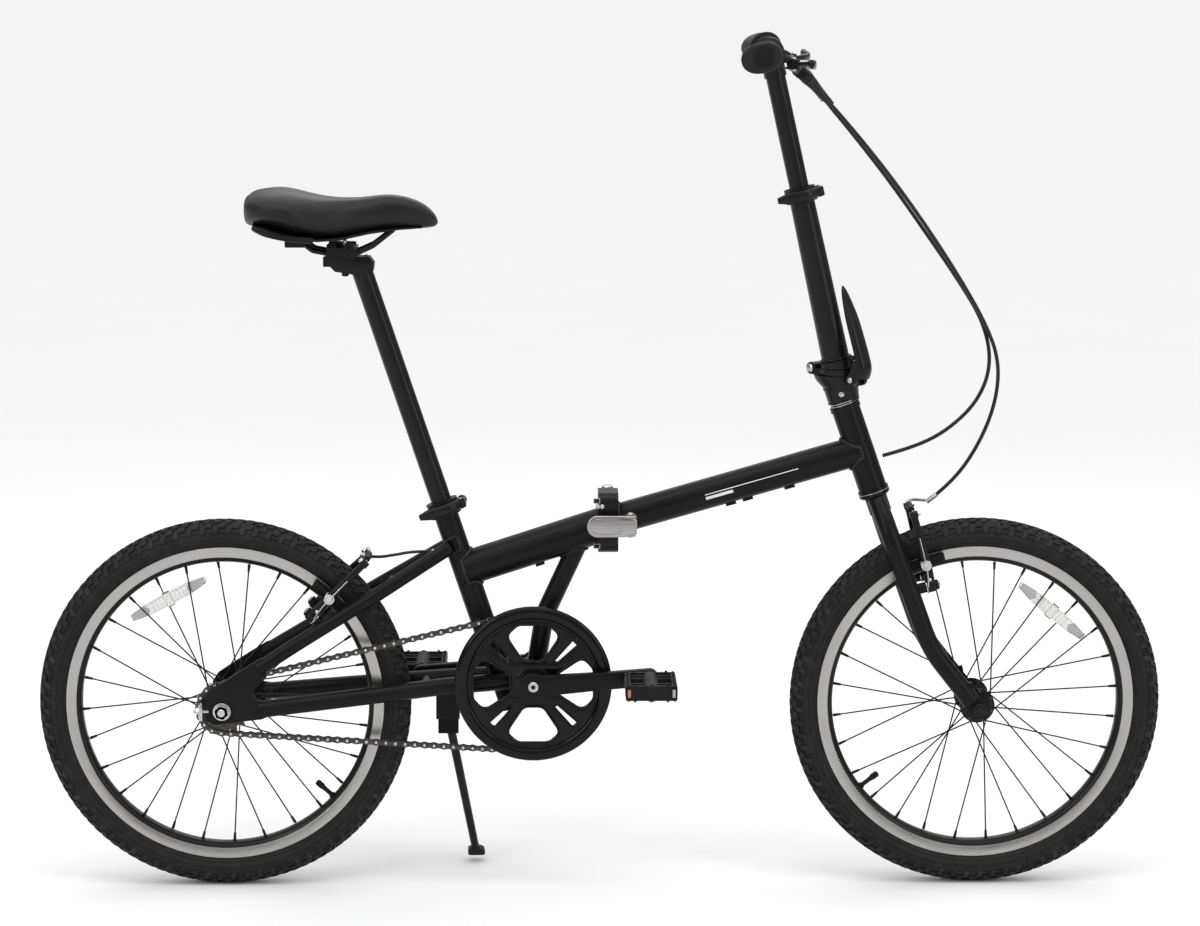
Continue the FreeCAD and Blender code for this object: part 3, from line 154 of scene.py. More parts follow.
def make_lights():
    middle = Vector((0, 0, 0.6))
    area_light("top strip", Vector((0.0, -0.9, 3.2)), middle, (3.6, 0.7), 20.0)
    area_light("key strip", Vector((-2.6, -2.6, 2.2)), middle, (0.7, 2.6), 30.0)
    area_light("fill strip", Vector((2.9, -2.2, 1.7)), middle, (0.5, 2.6), 23.0)
    area_light("back strip", Vector((0.6, 3.0, 2.4)), middle, (3.0, 0.8), 12.0)
    world = bpy.data.worlds.new("studio")
    world.use_nodes = True
    nodes, links = world.node_tree.nodes, world.node_tree.links
    coordinates = nodes.new("ShaderNodeTexCoord")
    split = nodes.new("ShaderNodeSeparateXYZ")
    ramp = nodes.new("ShaderNodeValToRGB")
    ramp.color_ramp.elements[0].position = 0.0
    ramp.color_ramp.elements[0].color = (0.10, 0.10, 0.10, 1)
    ramp.color_ramp.elements[1].position = 1.0
    ramp.color_ramp.elements[1].color = (1.0, 1.0, 1.0, 1)
    links.new(coordinates.outputs["Generated"], split.inputs["Vector"])
    links.new(split.outputs["Z"], ramp.inputs["Fac"])
    links.new(ramp.outputs["Color"], nodes["Background"].inputs["Color"])
    nodes["Background"].inputs["Strength"].default_value = 1.60
    bpy.context.scene.world = world
    bpy.context.scene.view_settings.view_transform = "Standard"


def make_floor():
    bpy.ops.mesh.primitive_circle_add(vertices=96, radius=160.0, fill_type="NGON", location=(0, 0, 0))
    floor = bpy.context.object
    floor.name = "studio_floor"
    floor.data.materials.append(mottled("floor_paper", (0.82, 0.82, 0.82), (0.81, 0.81, 0.812), 0.85,
                                        patch=2.0, grain=90.0, bump=0.01))


# ---- materials -------------------------------------------------------------------------
class Surface:
    """A procedural material, whose nodes are added and linked through these few calls."""

    def __init__(self, name):
        self.material = bpy.data.materials.new(name)
        self.material.use_nodes = True
        tree = self.material.node_tree
        self.nodes, self.links = tree.nodes, tree.links
        self.place = self.add("TexCoord").outputs["Object"]

    def feed(self, node, inputs):
        """Sets a node's inputs: a socket is linked, anything else is its value."""
        for key, value in inputs.items():
            if isinstance(value, bpy.types.NodeSocket):
                self.links.new(value, node.inputs[key])
            else:
                node.inputs[key].default_value = value

    def add(self, kind, inputs=None, **settings):
        node = self.nodes.new(f"ShaderNode{kind}")
        for key, value in settings.items():
            setattr(node, key, value)
        self.feed(node, inputs or {})
        return node

    def noise(self, scale, detail=3.0, vector=None):
        inputs = {"Vector": vector or self.place, "Scale": scale, "Detail": detail}
        return self.add("TexNoise", inputs).outputs["Fac"]

    def colour(self, mask, tone, other, low=0.35, high=0.65):
        ramp = self.add("ValToRGB", {"Fac": mask})
        for stop, at, rgb in zip(ramp.color_ramp.elements, (low, high), (tone, other)):
            stop.position = at
            stop.color = (*rgb, 1)
        self.shade({"Base Color": ramp.outputs["Color"]})

    def roughness(self, mask, low, high):
        span = self.add("MapRange", {"Value": mask, "From Min": 0.3, "From Max": 0.7, "To Min": low,
                                     "To Max": high})
        self.shade({"Roughness": span.outputs["Result"]})

    def relief(self, mask, strength, depth):
        bump = self.add("Bump", {"Height": mask, "Strength": strength, "Distance": depth})
        self.shade({"Normal": bump.outputs["Normal"]})

    def shade(self, inputs):
        self.feed(self.nodes["Principled BSDF"], inputs)
        return self.material


def mottled(name, tone, other, roughness, metallic=0.0, patch=30.0, grain=700.0, bump=0.1, depth=0.0004,
            varies=0.05, shine=0.3):
    """Soft patches of a second tone, uneven gloss and a fine grain."""
    surface = Surface(name)
    patches = surface.noise(patch)
    surface.colour(patches, tone, other)
    surface.roughness(patches, roughness - varies, roughness + varies)
    surface.relief(surface.noise(grain, 2.0), bump, depth)
    return surface.shade({"Metallic": metallic, "Specular IOR Level": shine})


def turned_metal(name, centre, tone, other, roughness):
    """Metal with fine rings turned round an axle that runs across the bike."""
    surface = Surface(name)
    offset = surface.add("VectorMath", {0: surface.place, 1: centre}, operation="SUBTRACT")
    flat = surface.add("VectorMath", {0: offset.outputs[0], 1: (1, 0, 1)}, operation="MULTIPLY")
    radius = surface.add("VectorMath", {0: flat.outputs[0]}, operation="LENGTH").outputs["Value"]
    rings = surface.add("TexNoise", {"W": radius, "Scale": 1400.0, "Detail": 2.0}, noise_dimensions="1D")
    surface.colour(rings.outputs["Fac"], tone, other, 0.25, 0.75)
    surface.roughness(surface.noise(18.0), roughness - 0.05, roughness + 0.07)
    surface.relief(rings.outputs["Fac"], 0.25, 0.0002)
    return surface.shade({"Metallic": 1.0})


def brushed_metal(name, tone, other, roughness):
    """Metal brushed along X."""
    surface = Surface(name)
    drawn_out = surface.add("Mapping", {"Vector": surface.place, "Scale": (40.0, 900.0, 900.0)})
    hairs = surface.noise(1.0, vector=drawn_out.outputs["Vector"])
    surface.colour(hairs, tone, other)
    surface.roughness(hairs, roughness - 0.05, roughness + 0.08)
    surface.relief(hairs, 0.2, 0.0002)
    return surface.shade({"Metallic": 1.0})


def leather(name, tone, other, roughness):
    """Grained leathercloth: small cells with soft creases between them."""
    surface = Surface(name)
    cells = surface.add("TexVoronoi", {"Vector": surface.place, "Scale": 420.0})
    wear = surface.noise(14.0)
    surface.colour(wear, tone, other)
    surface.roughness(wear, roughness - 0.04, roughness + 0.05)
    surface.relief(cells.outputs["Distance"], 0.16, 0.0006)
    return surface.shade({"Specular IOR Level": 0.24})


def rubber(name, tone, dust, roughness, dust_from, dust_to):
    """Moulded rubber: a fine grain, and pale dust in patches."""
    surface = Surface(name)
    patches = surface.noise(55.0, 6.0)
    surface.colour(patches, tone, dust, dust_from, dust_to)
    surface.roughness(patches, roughness - 0.05, roughness + 0.08)
    surface.relief(surface.noise(1200.0), 0.3, 0.0004)
    return surface.shade({"Specular IOR Level": 0.25})


def prismatic(name, tone, other):
    """Reflector plastic: rows of small prisms under a clear skin."""
    surface = Surface(name)
    prisms = surface.add("TexVoronoi", {"Vector": surface.place, "Scale": 380.0, "Randomness": 0.0},
                         distance="MANHATTAN").outputs["Distance"]
    surface.colour(prisms, tone, other, 0.1, 0.8)
    surface.relief(prisms, 0.6, 0.001)
    return surface.shade({"Roughness": 0.25, "Coat Weight": 0.8, "Coat Roughness": 0.04})


PAINT = mottled("satin_black_paint", (0.0042, 0.0042, 0.0045), (0.0062, 0.0062, 0.0065), 0.34, patch=9.0,
                grain=1500.0, bump=0.05, shine=0.13)
WELD = mottled("painted_weld", (0.006, 0.006, 0.006), (0.010, 0.010, 0.010), 0.36, patch=160.0, grain=420.0,
               bump=0.5, depth=0.0006)
BLACK_ALLOY = mottled("black_anodised_alloy", (0.0050, 0.0050, 0.0053), (0.0080, 0.0080, 0.0083), 0.28,
                      patch=22.0, grain=1600.0, bump=0.06, shine=0.18)
GLOSS = mottled("gloss_black_plastic", (0.0030, 0.0030, 0.0032), (0.0045, 0.0045, 0.0047), 0.09, patch=18.0,
                grain=500.0, bump=0.03, varies=0.02, shine=0.17)
PLASTIC = mottled("matt_black_plastic", (0.0060, 0.0060, 0.0060), (0.0105, 0.0105, 0.0105), 0.44, patch=45.0,
                  grain=1300.0, bump=0.16, shine=0.12)
STEEL = mottled("bright_steel", (0.42, 0.42, 0.43), (0.56, 0.56, 0.56), 0.24, metallic=1.0, patch=120.0,
                grain=900.0, bump=0.05)
DARK_STEEL = mottled("dark_chain_steel", (0.045, 0.043, 0.041), (0.085, 0.082, 0.078), 0.34, metallic=0.9,
                     patch=260.0, grain=1400.0, bump=0.12, varies=0.08)
BRUSHED = brushed_metal("brushed_alloy", (0.30, 0.295, 0.285), (0.40, 0.39, 0.375), 0.26)
RUBBER = rubber("tyre_rubber", (0.0062, 0.0062, 0.0062), (0.019, 0.0185, 0.018), 0.62, 0.45, 0.8)
TREAD = rubber("tread_rubber", (0.0075, 0.0075, 0.0075), (0.034, 0.033, 0.032), 0.72, 0.4, 0.8)
GRIP = rubber("grip_rubber", (0.0060, 0.0060, 0.0060), (0.0125, 0.0125, 0.0125), 0.56, 0.45, 0.8)
SKIN = leather("saddle_leathercloth", (0.0050, 0.0050, 0.0050), (0.0080, 0.0080, 0.0080), 0.40)
CLEAR = prismatic("clear_reflector", (0.46, 0.46, 0.46), (0.80, 0.80, 0.79))
FROSTED = prismatic("frosted_reflector_end", (0.24, 0.24, 0.245), (0.42, 0.42, 0.42))
AMBER = prismatic("amber_reflector", (0.22, 0.070, 0.025), (0.48, 0.19, 0.07))
HOUSING = mottled("cable_housing", (0.0045, 0.0045, 0.0045), (0.0080, 0.0080, 0.0080), 0.30, patch=70.0,
                  grain=800.0, bump=0.05)
STRIPE = mottled("pale_stripe_paint", (0.66, 0.66, 0.66), (0.74, 0.74, 0.74), 0.4, patch=60.0, grain=900.0,
                 bump=0.03)
RIM_TRACK = {name: turned_metal(f"{name}_machined_track", at, (0.26, 0.256, 0.25), (0.52, 0.515, 0.50), 0.26)
             for name, at in (("front", FRONT_AXLE), ("rear", REAR_AXLE))}


# ---- building pieces --------------------------------------------------------------------
class Shape:
    """One piece of the bike, put together from simple closed lumps, each with its own material."""

    def __init__(self):
        self.bm = bmesh.new()
        self.materials = []

    def paint(self, faces, material):
        if material not in self.materials:
            self.materials.append(material)
        for face in faces:
            face.material_index = self.materials.index(material)

    def lathe(self, profile, centre, direction, material, steps=64, closed=False):
        """Turns (radius, height) points, in millimetres, round a line through centre."""
        u = direction.orthogonal().normalized()
        w = direction.cross(u)
        rings = []
        for r, h in profile:
            spot = centre + direction * (h * 0.001)
            rings.append([self.bm.verts.new(spot + (u * cos(t) + w * sin(t)) * (r * 0.001))
                          for t in (turns(steps) if r > 1e-6 else [0.0])])
        faces = []
        for low, high in zip(rings, rings[1:] + (rings[:1] if closed else [])):
            if len(low) == 1 and len(high) == 1:
                continue
            for i in range(steps):
                j = (i + 1) % steps
                corners = [low[i % len(low)], low[j % len(low)], high[j % len(high)], high[i % len(high)]]
                faces.append(self.bm.faces.new(list(dict.fromkeys(corners))))
        self.paint(faces, material)

    def bar(self, a, b, r, material, r_end=None, edge=0.5, steps=32):
        """Round bar between two points, radii and edge in millimetres."""
        run = b - a
        length = run.length * 1000
        top = r if r_end is None else r_end
        edge = min(edge, r * 0.45, top * 0.45, length * 0.3)
        self.lathe([(0, 0), (r - edge, 0), (r, edge), (top, length - edge), (top - edge, length),
                    (0, length)],
                   a, run.normalized(), material, steps)

    def stub(self, at, direction, low, high, r, material, **shape):
        """Round bar along a direction, from low to high millimetres past a point."""
        self.bar(at + direction * (low * 0.001), at + direction * (high * 0.001), r, material, **shape)

    def torus(self, centre, direction, ring, r, material, steps=72, sides=10):
        self.lathe([(ring + r * cos(t), r * sin(t)) for t in turns(sides)], centre, direction, material,
                   steps, closed=True)

    def block(self, centre, size, material, dirs=(X, LEFT, UP), edge=0.8):
        """Box of a size in millimetres along three directions, with rounded edges."""
        made = bmesh.ops.create_cube(self.bm, size=1.0)["verts"]
        for vert in made:
            local = [vert.co[i] * size[i] * 0.001 for i in range(3)]
            vert.co = centre + dirs[0] * local[0] + dirs[1] * local[1] + dirs[2] * local[2]
        edges = {e for v in made for e in v.link_edges}
        faces = {f for v in made for f in v.link_faces}
        self.paint(faces, material)
        bmesh.ops.bevel(self.bm, geom=list(edges), offset=min(edge, min(size) * 0.3) * 0.001, segments=2,
                        affect="EDGES", profile=0.5)

    def loft(self, rings, material, closed=False):
        """Skin over rings of points that all have the same count."""
        loops = [[self.bm.verts.new(p) for p in ring] for ring in rings]
        count = len(loops[0])
        faces = []
        for low, high in zip(loops, loops[1:] + (loops[:1] if closed else [])):
            for i in range(count):
                j = (i + 1) % count
                faces.append(self.bm.faces.new([low[i], low[j], high[j], high[i]]))
        if not closed:
            faces.append(self.bm.faces.new(list(reversed(loops[0]))))
            faces.append(self.bm.faces.new(loops[-1]))
        self.paint(faces, material)

    def add_mesh(self, mesh, material):
        """Adds a ready mesh, which is then thrown away."""
        before = len(self.bm.faces)
        self.bm.from_mesh(mesh)
        bpy.data.meshes.remove(mesh)
        self.bm.faces.ensure_lookup_table()
        self.paint(self.bm.faces[before:], material)

    def plate(self, loops, origin, x_dir, y_dir, thickness, material, edge=0.6):
        """Flat plate: the first loop of (x, y) points is its outline, the others are its holes."""
        data = bpy.data.curves.new("outline", "CURVE")
        data.dimensions = "2D"
        data.fill_mode = "BOTH"
        data.extrude = (thickness / 2 - edge) * 0.001
        data.bevel_depth = edge * 0.001
        data.bevel_resolution = 2
        data.offset = -edge * 0.001
        for loop in loops:
            spline = data.splines.new("POLY")
            spline.points.add(len(loop) - 1)
            for point, (x, y) in zip(spline.points, loop):
                point.co = (x * 0.001, y * 0.001, 0, 1)
            spline.use_cyclic_u = True
        mesh = mesh_of(data)
        turn = Matrix((x_dir, y_dir, x_dir.cross(y_dir))).transposed().to_4x4()
        turn.translation = origin
        mesh.transform(turn)
        self.add_mesh(mesh, material)

    def tube(self, points, r, material):
        """Tube along a smooth line with these control points, radius in millimetres."""
        self.add_mesh(mesh_of(smooth_line(points, r)), material)

    def finish(self, name, body, *nodes, smooth_below=38.0):
        bmesh.ops.remove_doubles(self.bm, verts=self.bm.verts, dist=1e-7)
        bmesh.ops.recalc_face_normals(self.bm, faces=self.bm.faces)
        mesh = bpy.data.meshes.new(name)
        self.bm.to_mesh(mesh)
        self.bm.free()
        for material in self.materials:
            mesh.materials.append(material)
        mesh.shade_smooth()
        mesh.set_sharp_from_angle(angle=radians(smooth_below))
        piece = bpy.data.objects.new(name, mesh)
        bpy.context.scene.collection.objects.link(piece)
        if body:
            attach(piece, body)
        if nodes:
            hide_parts(*nodes)
        return piece


def mesh_of(curve):
    """The mesh that a curve makes; the curve is thrown away."""
    holder = bpy.data.objects.new("curve", curve)
    bpy.context.scene.collection.objects.link(holder)
    mesh = bpy.data.meshes.new_from_object(holder)
    bpy.data.objects.remove(holder)
    bpy.data.curves.remove(curve)
    return mesh


def smooth_line(points, r):
    data = bpy.data.curves.new("line", "CURVE")
    data.dimensions = "3D"
    data.bevel_depth = r * 0.001
    data.bevel_resolution = 4
    data.use_fill_caps = True
    spline = data.splines.new("NURBS")
    spline.points.add(len(points) - 1)
    for point, spot in zip(spline.points, points):
        point.co = (*spot, 1)
    spline.order_u = min(3, len(points))
    spline.use_endpoint_u = True
    spline.resolution_u = 10
    return data


def circle(r, x=0.0, y=0.0, steps=48, start=0.0, sweep=360.0):
    count = steps if sweep >= 360 else steps + 1
    angles = [radians(start + sweep * i / steps) for i in range(count)]
    return [(x + r * cos(t), y + r * sin(t)) for t in angles]


def rounded(corners, r, steps=6):
    """Outline with each corner of a polygon rounded to about radius r."""
    outline = []
    count = len(corners)
    for i, corner in enumerate(corners):
        here = Vector(corner)
        before = Vector(corners[i - 1]) - here
        after = Vector(corners[(i + 1) % count]) - here
        turn = before.angle(after)
        reach = min(r / tan(turn / 2), before.length * 0.48, after.length * 0.48)
        a = here + before.normalized() * reach
        b = here + after.normalized() * reach
        for k in range(steps + 1):
            t = k / steps
            outline.append(tuple(a * (1 - t) ** 2 + here * 2 * t * (1 - t) + b * t * t))
    return outline


def spin(points, angle):
    c, s = cos(radians(angle)), sin(radians(angle))
    return [(x * c - y * s, x * s + y * c) for x, y in points]


def repaint(material, *nodes):
    """A CAD node whose shape is right keeps it, with this material."""
    for node in nodes:
        data = frame["nodes"][node].data
        data.materials.clear()
        data.materials.append(material)


# ---- wheels ----------------------------------------------------------------------------
KNOB_ROWS = (                    # lean round the casing, half length, half width, count, stagger
    (0.0, 3.6, 2.6, 108, 0.0),
    (20.0, 4.2, 3.0, 108, 0.5),
    (-20.0, 4.2, 3.0, 108, 0.5),
    (42.0, 4.6, 3.8, 84, 0.0),
    (-42.0, 4.6, 3.8, 84, 0.0),
    (64.0, 3.0, 4.4, 84, 0.5),
    (-64.0, 3.0, 4.4, 84, 0.5),
)
CASING_CENTRE_R = 225.0
CASING_RISE = 17.9
CASING_HALF = 21.4
KNOB_HEIGHT = 2.5
SPOKE_COUNT = 28
SPOKE_LEAD = 4                   # spoke spacings between a spoke's rim end and its hub end


def casing_point(lean):
    """(radius, y) on the tyre's casing, by the angle round its section."""
    t = radians(lean)
    return CASING_CENTRE_R + CASING_RISE * cos(t), CASING_HALF * sin(t)


def make_tyre(name, axle):
    casing = [casing_point(a) for a in range(-132, 133, 8)]
    beads = [(209.0, 10.7), (203.0, 10.7), (203.0, -10.7), (209.0, -10.7)]
    shape = Shape()
    shape.lathe(casing + beads, axle, LEFT, RUBBER, steps=180, closed=True)
    for side in (-1, 1):
        for ring, y, r in ((231.5, 20.7, 0.9), (221.0, 21.4, 0.7), (214.6, 17.6, 0.8)):
            shape.torus(axle + LEFT * (side * y * 0.001), LEFT, ring, r, RUBBER, steps=180, sides=8)
    for lean, half_long, half_wide, count, stagger in KNOB_ROWS:
        r, y = casing_point(lean)
        tilt = radians(lean)
        for i in range(count):
            a = 2 * pi * (i + stagger) / count
            out = in_side_view(a)
            along = Vector((-out.z, 0, out.x))
            normal = out * cos(tilt) + LEFT * sin(tilt)
            across = LEFT * cos(tilt) - out * sin(tilt)
            foot = axle + out * (r * 0.001) + LEFT * (y * 0.001)
            skew = 1.0 if lean > 0 else -1.0 if lean < 0 else 0.0
            rings = []
            for height, shrink in ((-1.2, 1.12), (KNOB_HEIGHT - 0.5, 1.0), (KNOB_HEIGHT, 0.86)):
                rings.append([foot + normal * (height * 0.001)
                              + along * ((u * half_long + skew * w * 1.2) * shrink * 0.001)
                              + across * (w * half_wide * shrink * 0.001)
                              for u, w in ((-1, -1), (1, -1), (1, 1), (-1, 1))])
            shape.loft(rings, TREAD)
    shape.finish(f"{name}_tyre_with_tread", f"{name}_wheel", f"{name}_tyre", smooth_below=30.0)


def make_rim(name, axle):
    track = RIM_TRACK[name]
    shape = Shape()
    shape.lathe([(209.5, -13.0), (209.8, -12.2), (209.2, -11.1), (200.0, -11.0), (200.0, 11.0), (209.2, 11.1),
                 (209.8, 12.2), (209.5, 13.0), (197.0, 13.0), (196.2, 12.6), (196.2, -12.6), (197.0, -13.0)],
                axle, LEFT, track, steps=180, closed=True)
    shape.lathe([(196.4, -12.2), (196.4, 12.2), (192.5, 10.5), (189.6, 7.0), (189.0, 0), (189.6, -7.0),
                 (192.5, -10.5)], axle, LEFT, BLACK_ALLOY, steps=180, closed=True)
    shape.finish(f"{name}_rim_with_track", f"{name}_wheel", f"{name}_rim")


def make_nipples(name, axle, flange_r, flange_y, first):
    """Spoke nipples at the rim, each in line with its spoke, and spoke heads on the hub flanges."""
    shape = Shape()
    step = 360.0 / SPOKE_COUNT
    for i in range(SPOKE_COUNT):
        side = 1 if i % 2 else -1
        trailing = 1 if i // 2 % 2 else -1
        b = radians(first + step * i)
        a = b - radians(trailing * step * SPOKE_LEAD)
        hub = axle + mm(flange_r * cos(a), side * (flange_y + 2.6 * trailing), flange_r * sin(a))
        rim = axle + mm(188.8 * cos(b), side * (2.5 + 2.0 * trailing), 188.8 * sin(b))
        along = (hub - rim).normalized()
        shape.stub(rim, along, 0, 10.5, 2.1, BLACK_ALLOY, r_end=1.6, steps=10)
        shape.stub(hub, LEFT, -1.2, 1.2, 1.9, DARK_STEEL, steps=10)
    shape.finish(f"{name}_spoke_nipples", f"{name}_wheel")


def make_wheel_trim(name, axle, valve_angle, reflector_angle):
    """Valve with its knurled cap, and a clear reflector clipped between the spokes."""
    shape = Shape()
    a = radians(valve_angle)
    out = in_side_view(a)
    shape.lathe([(0, 160.5), (3.0, 161.0), (4.1, 163.0), (4.1, 171.0), (3.4, 172.0), (3.0, 176.0),
                 (3.0, 186.0), (4.6, 187.2), (4.6, 189.0), (0, 189.0)], axle, out, PLASTIC, steps=20)
    for k in range(4):
        shape.torus(axle + out * (0.1645 + 0.0018 * k), out, 4.1, 0.35, PLASTIC, steps=20, sides=6)
    b = radians(reflector_angle)
    out = in_side_view(b)
    along = Vector((-out.z, 0, out.x))
    centre = axle + out * 0.157
    outline = rounded([(-56, -4.5), (-34, -7.6), (0, -8.4), (34, -7.6), (56, -4.5), (56, 4.5), (34, 7.6),
                       (0, 8.4), (-34, 7.6), (-56, 4.5)], 3.5)
    shape.plate([outline], centre, along, out, 3.4, CLEAR, edge=0.7)
    for side in (-1, 1):
        face = centre + LEFT * (side * 0.0019)
        shape.plate([outline, [(x * 0.95, y * 0.80) for x, y in outline]], face, along, out, 0.9, CLEAR,
                    edge=0.3)
        for end in (-1, 1):
            lobe = rounded([(end * 54, -4.2), (end * 33, -7.0), (end * 28, 0), (end * 33, 7.0),
                            (end * 54, 4.2)], 2.0)
            shape.plate([lobe], face, along, out, 0.9, FROSTED, edge=0.25)
        for k in range(-4, 5):
            shape.block(face + along * (k * 0.0055), (1.0, 0.7, 12.0), CLEAR, (along, LEFT, out), edge=0.2)
    shape.block(centre, (7.0, 5.6, 18.0), CLEAR, (along, LEFT, out), edge=1.0)
    shape.finish(f"{name}_valve_and_clear_reflector", f"{name}_wheel", f"{name}_valve_and_reflector")


def make_hub(name, axle, flange_r, flange_y, end, barrel_r):
    """Hub shell with solid flanges, lock nuts and dust caps."""
    profile = [(5.1, -end), (8.5, -end), (9.0, -end + 0.8), (9.0, -end + 5), (11.5, -end + 5.6),
               (11.5, -flange_y - 6.5), (barrel_r + 1.0, -flange_y - 2.4), (flange_r - 0.8, -flange_y - 1.4),
               (flange_r, -flange_y - 0.6), (flange_r, -flange_y + 0.8), (flange_r - 0.6, -flange_y + 1.4),
               (barrel_r + 1.0, -flange_y + 2.0), (barrel_r - 2.0, -flange_y + 7.0), (barrel_r - 3.0, -8.0)]
    shape = Shape()
    shape.lathe(profile + [(r, -y) for r, y in reversed(profile)], axle, LEFT, BLACK_ALLOY, steps=72,
                closed=True)
    for y in (-9.0, 9.0):
        shape.torus(axle + LEFT * (y * 0.001), LEFT, barrel_r - 3.0, 0.7, BLACK_ALLOY)
    shape.finish(f"{name}_hub_shell", f"{name}_wheel", f"{name}_hub")


def make_wheels():
    for name, axle, flange_r, flange_y, end, barrel, first_spoke, valve, reflector in (
            ("front", FRONT_AXLE, 23.0, 33.5, 49.6, 13.0, 5.8, -142.1, 50.0),
            ("rear", REAR_AXLE, 24.0, 28.0, 54.6, 16.0, 2.6, -42.4, 118.0)):
        make_tyre(name, axle)
        make_rim(name, axle)
        make_nipples(name, axle, flange_r - 3.5, flange_y, first_spoke)
        make_wheel_trim(name, axle, valve, reflector)
        make_hub(name, axle, flange_r, flange_y, end, barrel)
        repaint(BLACK_ALLOY, f"{name}_spokes")


# ---- chain and crank --------------------------------------------------------------------
CHAIN_Y = -43.0
CHAIN_PITCH = 0.0127
RING_R = 93.1                    # pitch radius of the chainring
COG_R = 32.55
RING_TEETH = 46
COG_TEETH = 16
GUARD_Y = -54.5
PEDAL_MIDDLE_Y = 126.5


def belt_points():
    """Evenly spaced chain pin centres round the chainring and the cog."""
    ring, cog = Vector((CRANK.x, CRANK.z)), Vector((REAR_AXLE.x, REAR_AXLE.z))
    span = cog - ring
    heading = atan2(span.y, span.x)
    opening = acos((RING_R - COG_R) * 0.001 / span.length)
    up, down = heading - opening, heading + opening
    straight = sqrt(span.length ** 2 - ((RING_R - COG_R) * 0.001) ** 2)
    big, small = RING_R * 0.001, COG_R * 0.001
    ring_turn = 2 * pi - 2 * opening
    cog_turn = 2 * opening
    total = 2 * straight + big * ring_turn + small * cog_turn
    count = 2 * round(total / CHAIN_PITCH / 2)

    def spot(centre, r, a):
        return centre + Vector((cos(a), sin(a))) * r

    points = []
    for i in range(count):
        s = total * i / count
        if s < straight:
            points.append(spot(ring, big, up).lerp(spot(cog, small, up), s / straight))
            continue
        s -= straight
        if s < small * cog_turn:
            points.append(spot(cog, small, up + s / small))
            continue
        s -= small * cog_turn
        if s < straight:
            points.append(spot(cog, small, down).lerp(spot(ring, big, down), s / straight))
            continue
        points.append(spot(ring, big, down + (s - straight) / big))
    return points


def make_chain():
    pins = belt_points()
    shape = Shape()
    y = CHAIN_Y * 0.001
    for i, (a, b) in enumerate(zip(pins, pins[1:] + pins[:1])):
        run = b - a
        half = run.length * 500
        along = Vector((run.x, 0, run.y)).normalized()
        across = along.cross(LEFT) * -1
        middle = Vector(((a.x + b.x) / 2, y, (a.y + b.y) / 2))
        end = circle(4.1, half, 0, steps=8, start=-100, sweep=200)
        start = circle(4.1, -half, 0, steps=8, start=80, sweep=200)
        outline = end + [(0, 2.7)] + start + [(0, -2.7)]
        offset = 1.9 if i % 2 else 3.0
        for side in (-1, 1):
            shape.plate([outline], middle + LEFT * (side * offset * 0.001), along, across, 1.0, DARK_STEEL,
                        edge=0.2)
        pin = Vector((a.x, y, a.y))
        shape.stub(pin, LEFT, -4.1, 4.1, 1.9, STEEL, edge=0.3, steps=12)
        shape.stub(pin, LEFT, -1.3, 1.3, 3.6, DARK_STEEL, edge=0.3, steps=12)
    shape.finish("roller_chain", "rear_frame", "chain")


def toothed(teeth, pitch_r, phase):
    outline = []
    for i in range(teeth):
        middle = 360.0 * (i + 0.5) / teeth + phase
        step = 360.0 / teeth
        for turn, r in ((-0.5, -3.6), (-0.34, -2.6), (-0.20, 0.6), (-0.09, 3.2), (0.09, 3.2), (0.20, 0.6),
                        (0.34, -2.6)):
            a = radians(middle + turn * step)
            outline.append(((pitch_r + r) * cos(a), (pitch_r + r) * sin(a)))
    return outline


WINDOW = [(29.5, -13.0), (65.0, -36.5), (79.5, -20.0), (79.5, 20.0), (65.0, 36.5), (29.5, 13.0)]
SLOT = [(41.0, -3.0), (78.0, -5.2), (78.0, 5.2), (41.0, 3.0)]
WINDOWS = [spin(rounded(WINDOW, 14.0), 90.0 * i) for i in range(4)]
SLOTS = [spin(rounded(SLOT, 2.0), 45.0 + 90.0 * i) for i in range(4)]


def make_chainring():
    pins = belt_points()
    last = pins[-1] - Vector((CRANK.x, CRANK.z))
    phase = degrees(atan2(last.y, last.x))
    shape = Shape()
    centre = beside(CRANK, CHAIN_Y)
    shape.plate([toothed(RING_TEETH, RING_R, phase)] + WINDOWS + SLOTS + [circle(8.2)], centre, X, UP, 2.0,
                BLACK_ALLOY, edge=0.25)
    shape.finish("toothed_chainring", "crank", "chainring")

    cog_pins = [p - Vector((REAR_AXLE.x, REAR_AXLE.z)) for p in pins]
    nearest = min(cog_pins, key=lambda p: abs(p.length - COG_R * 0.001))
    phase = degrees(atan2(nearest.y, nearest.x))
    shape = Shape()
    centre = beside(REAR_AXLE, CHAIN_Y)
    shape.plate([toothed(COG_TEETH, COG_R, phase), circle(16.2)], centre, X, UP, 2.0, DARK_STEEL, edge=0.25)
    shape.lathe([(16.1, -4.0), (21.4, -4.0), (22.0, -3.4), (22.0, 3.4), (21.4, 4.0), (16.1, 4.0)], centre,
                LEFT, DARK_STEEL, closed=True)
    shape.finish("toothed_cog", "cog", "rear_cog")


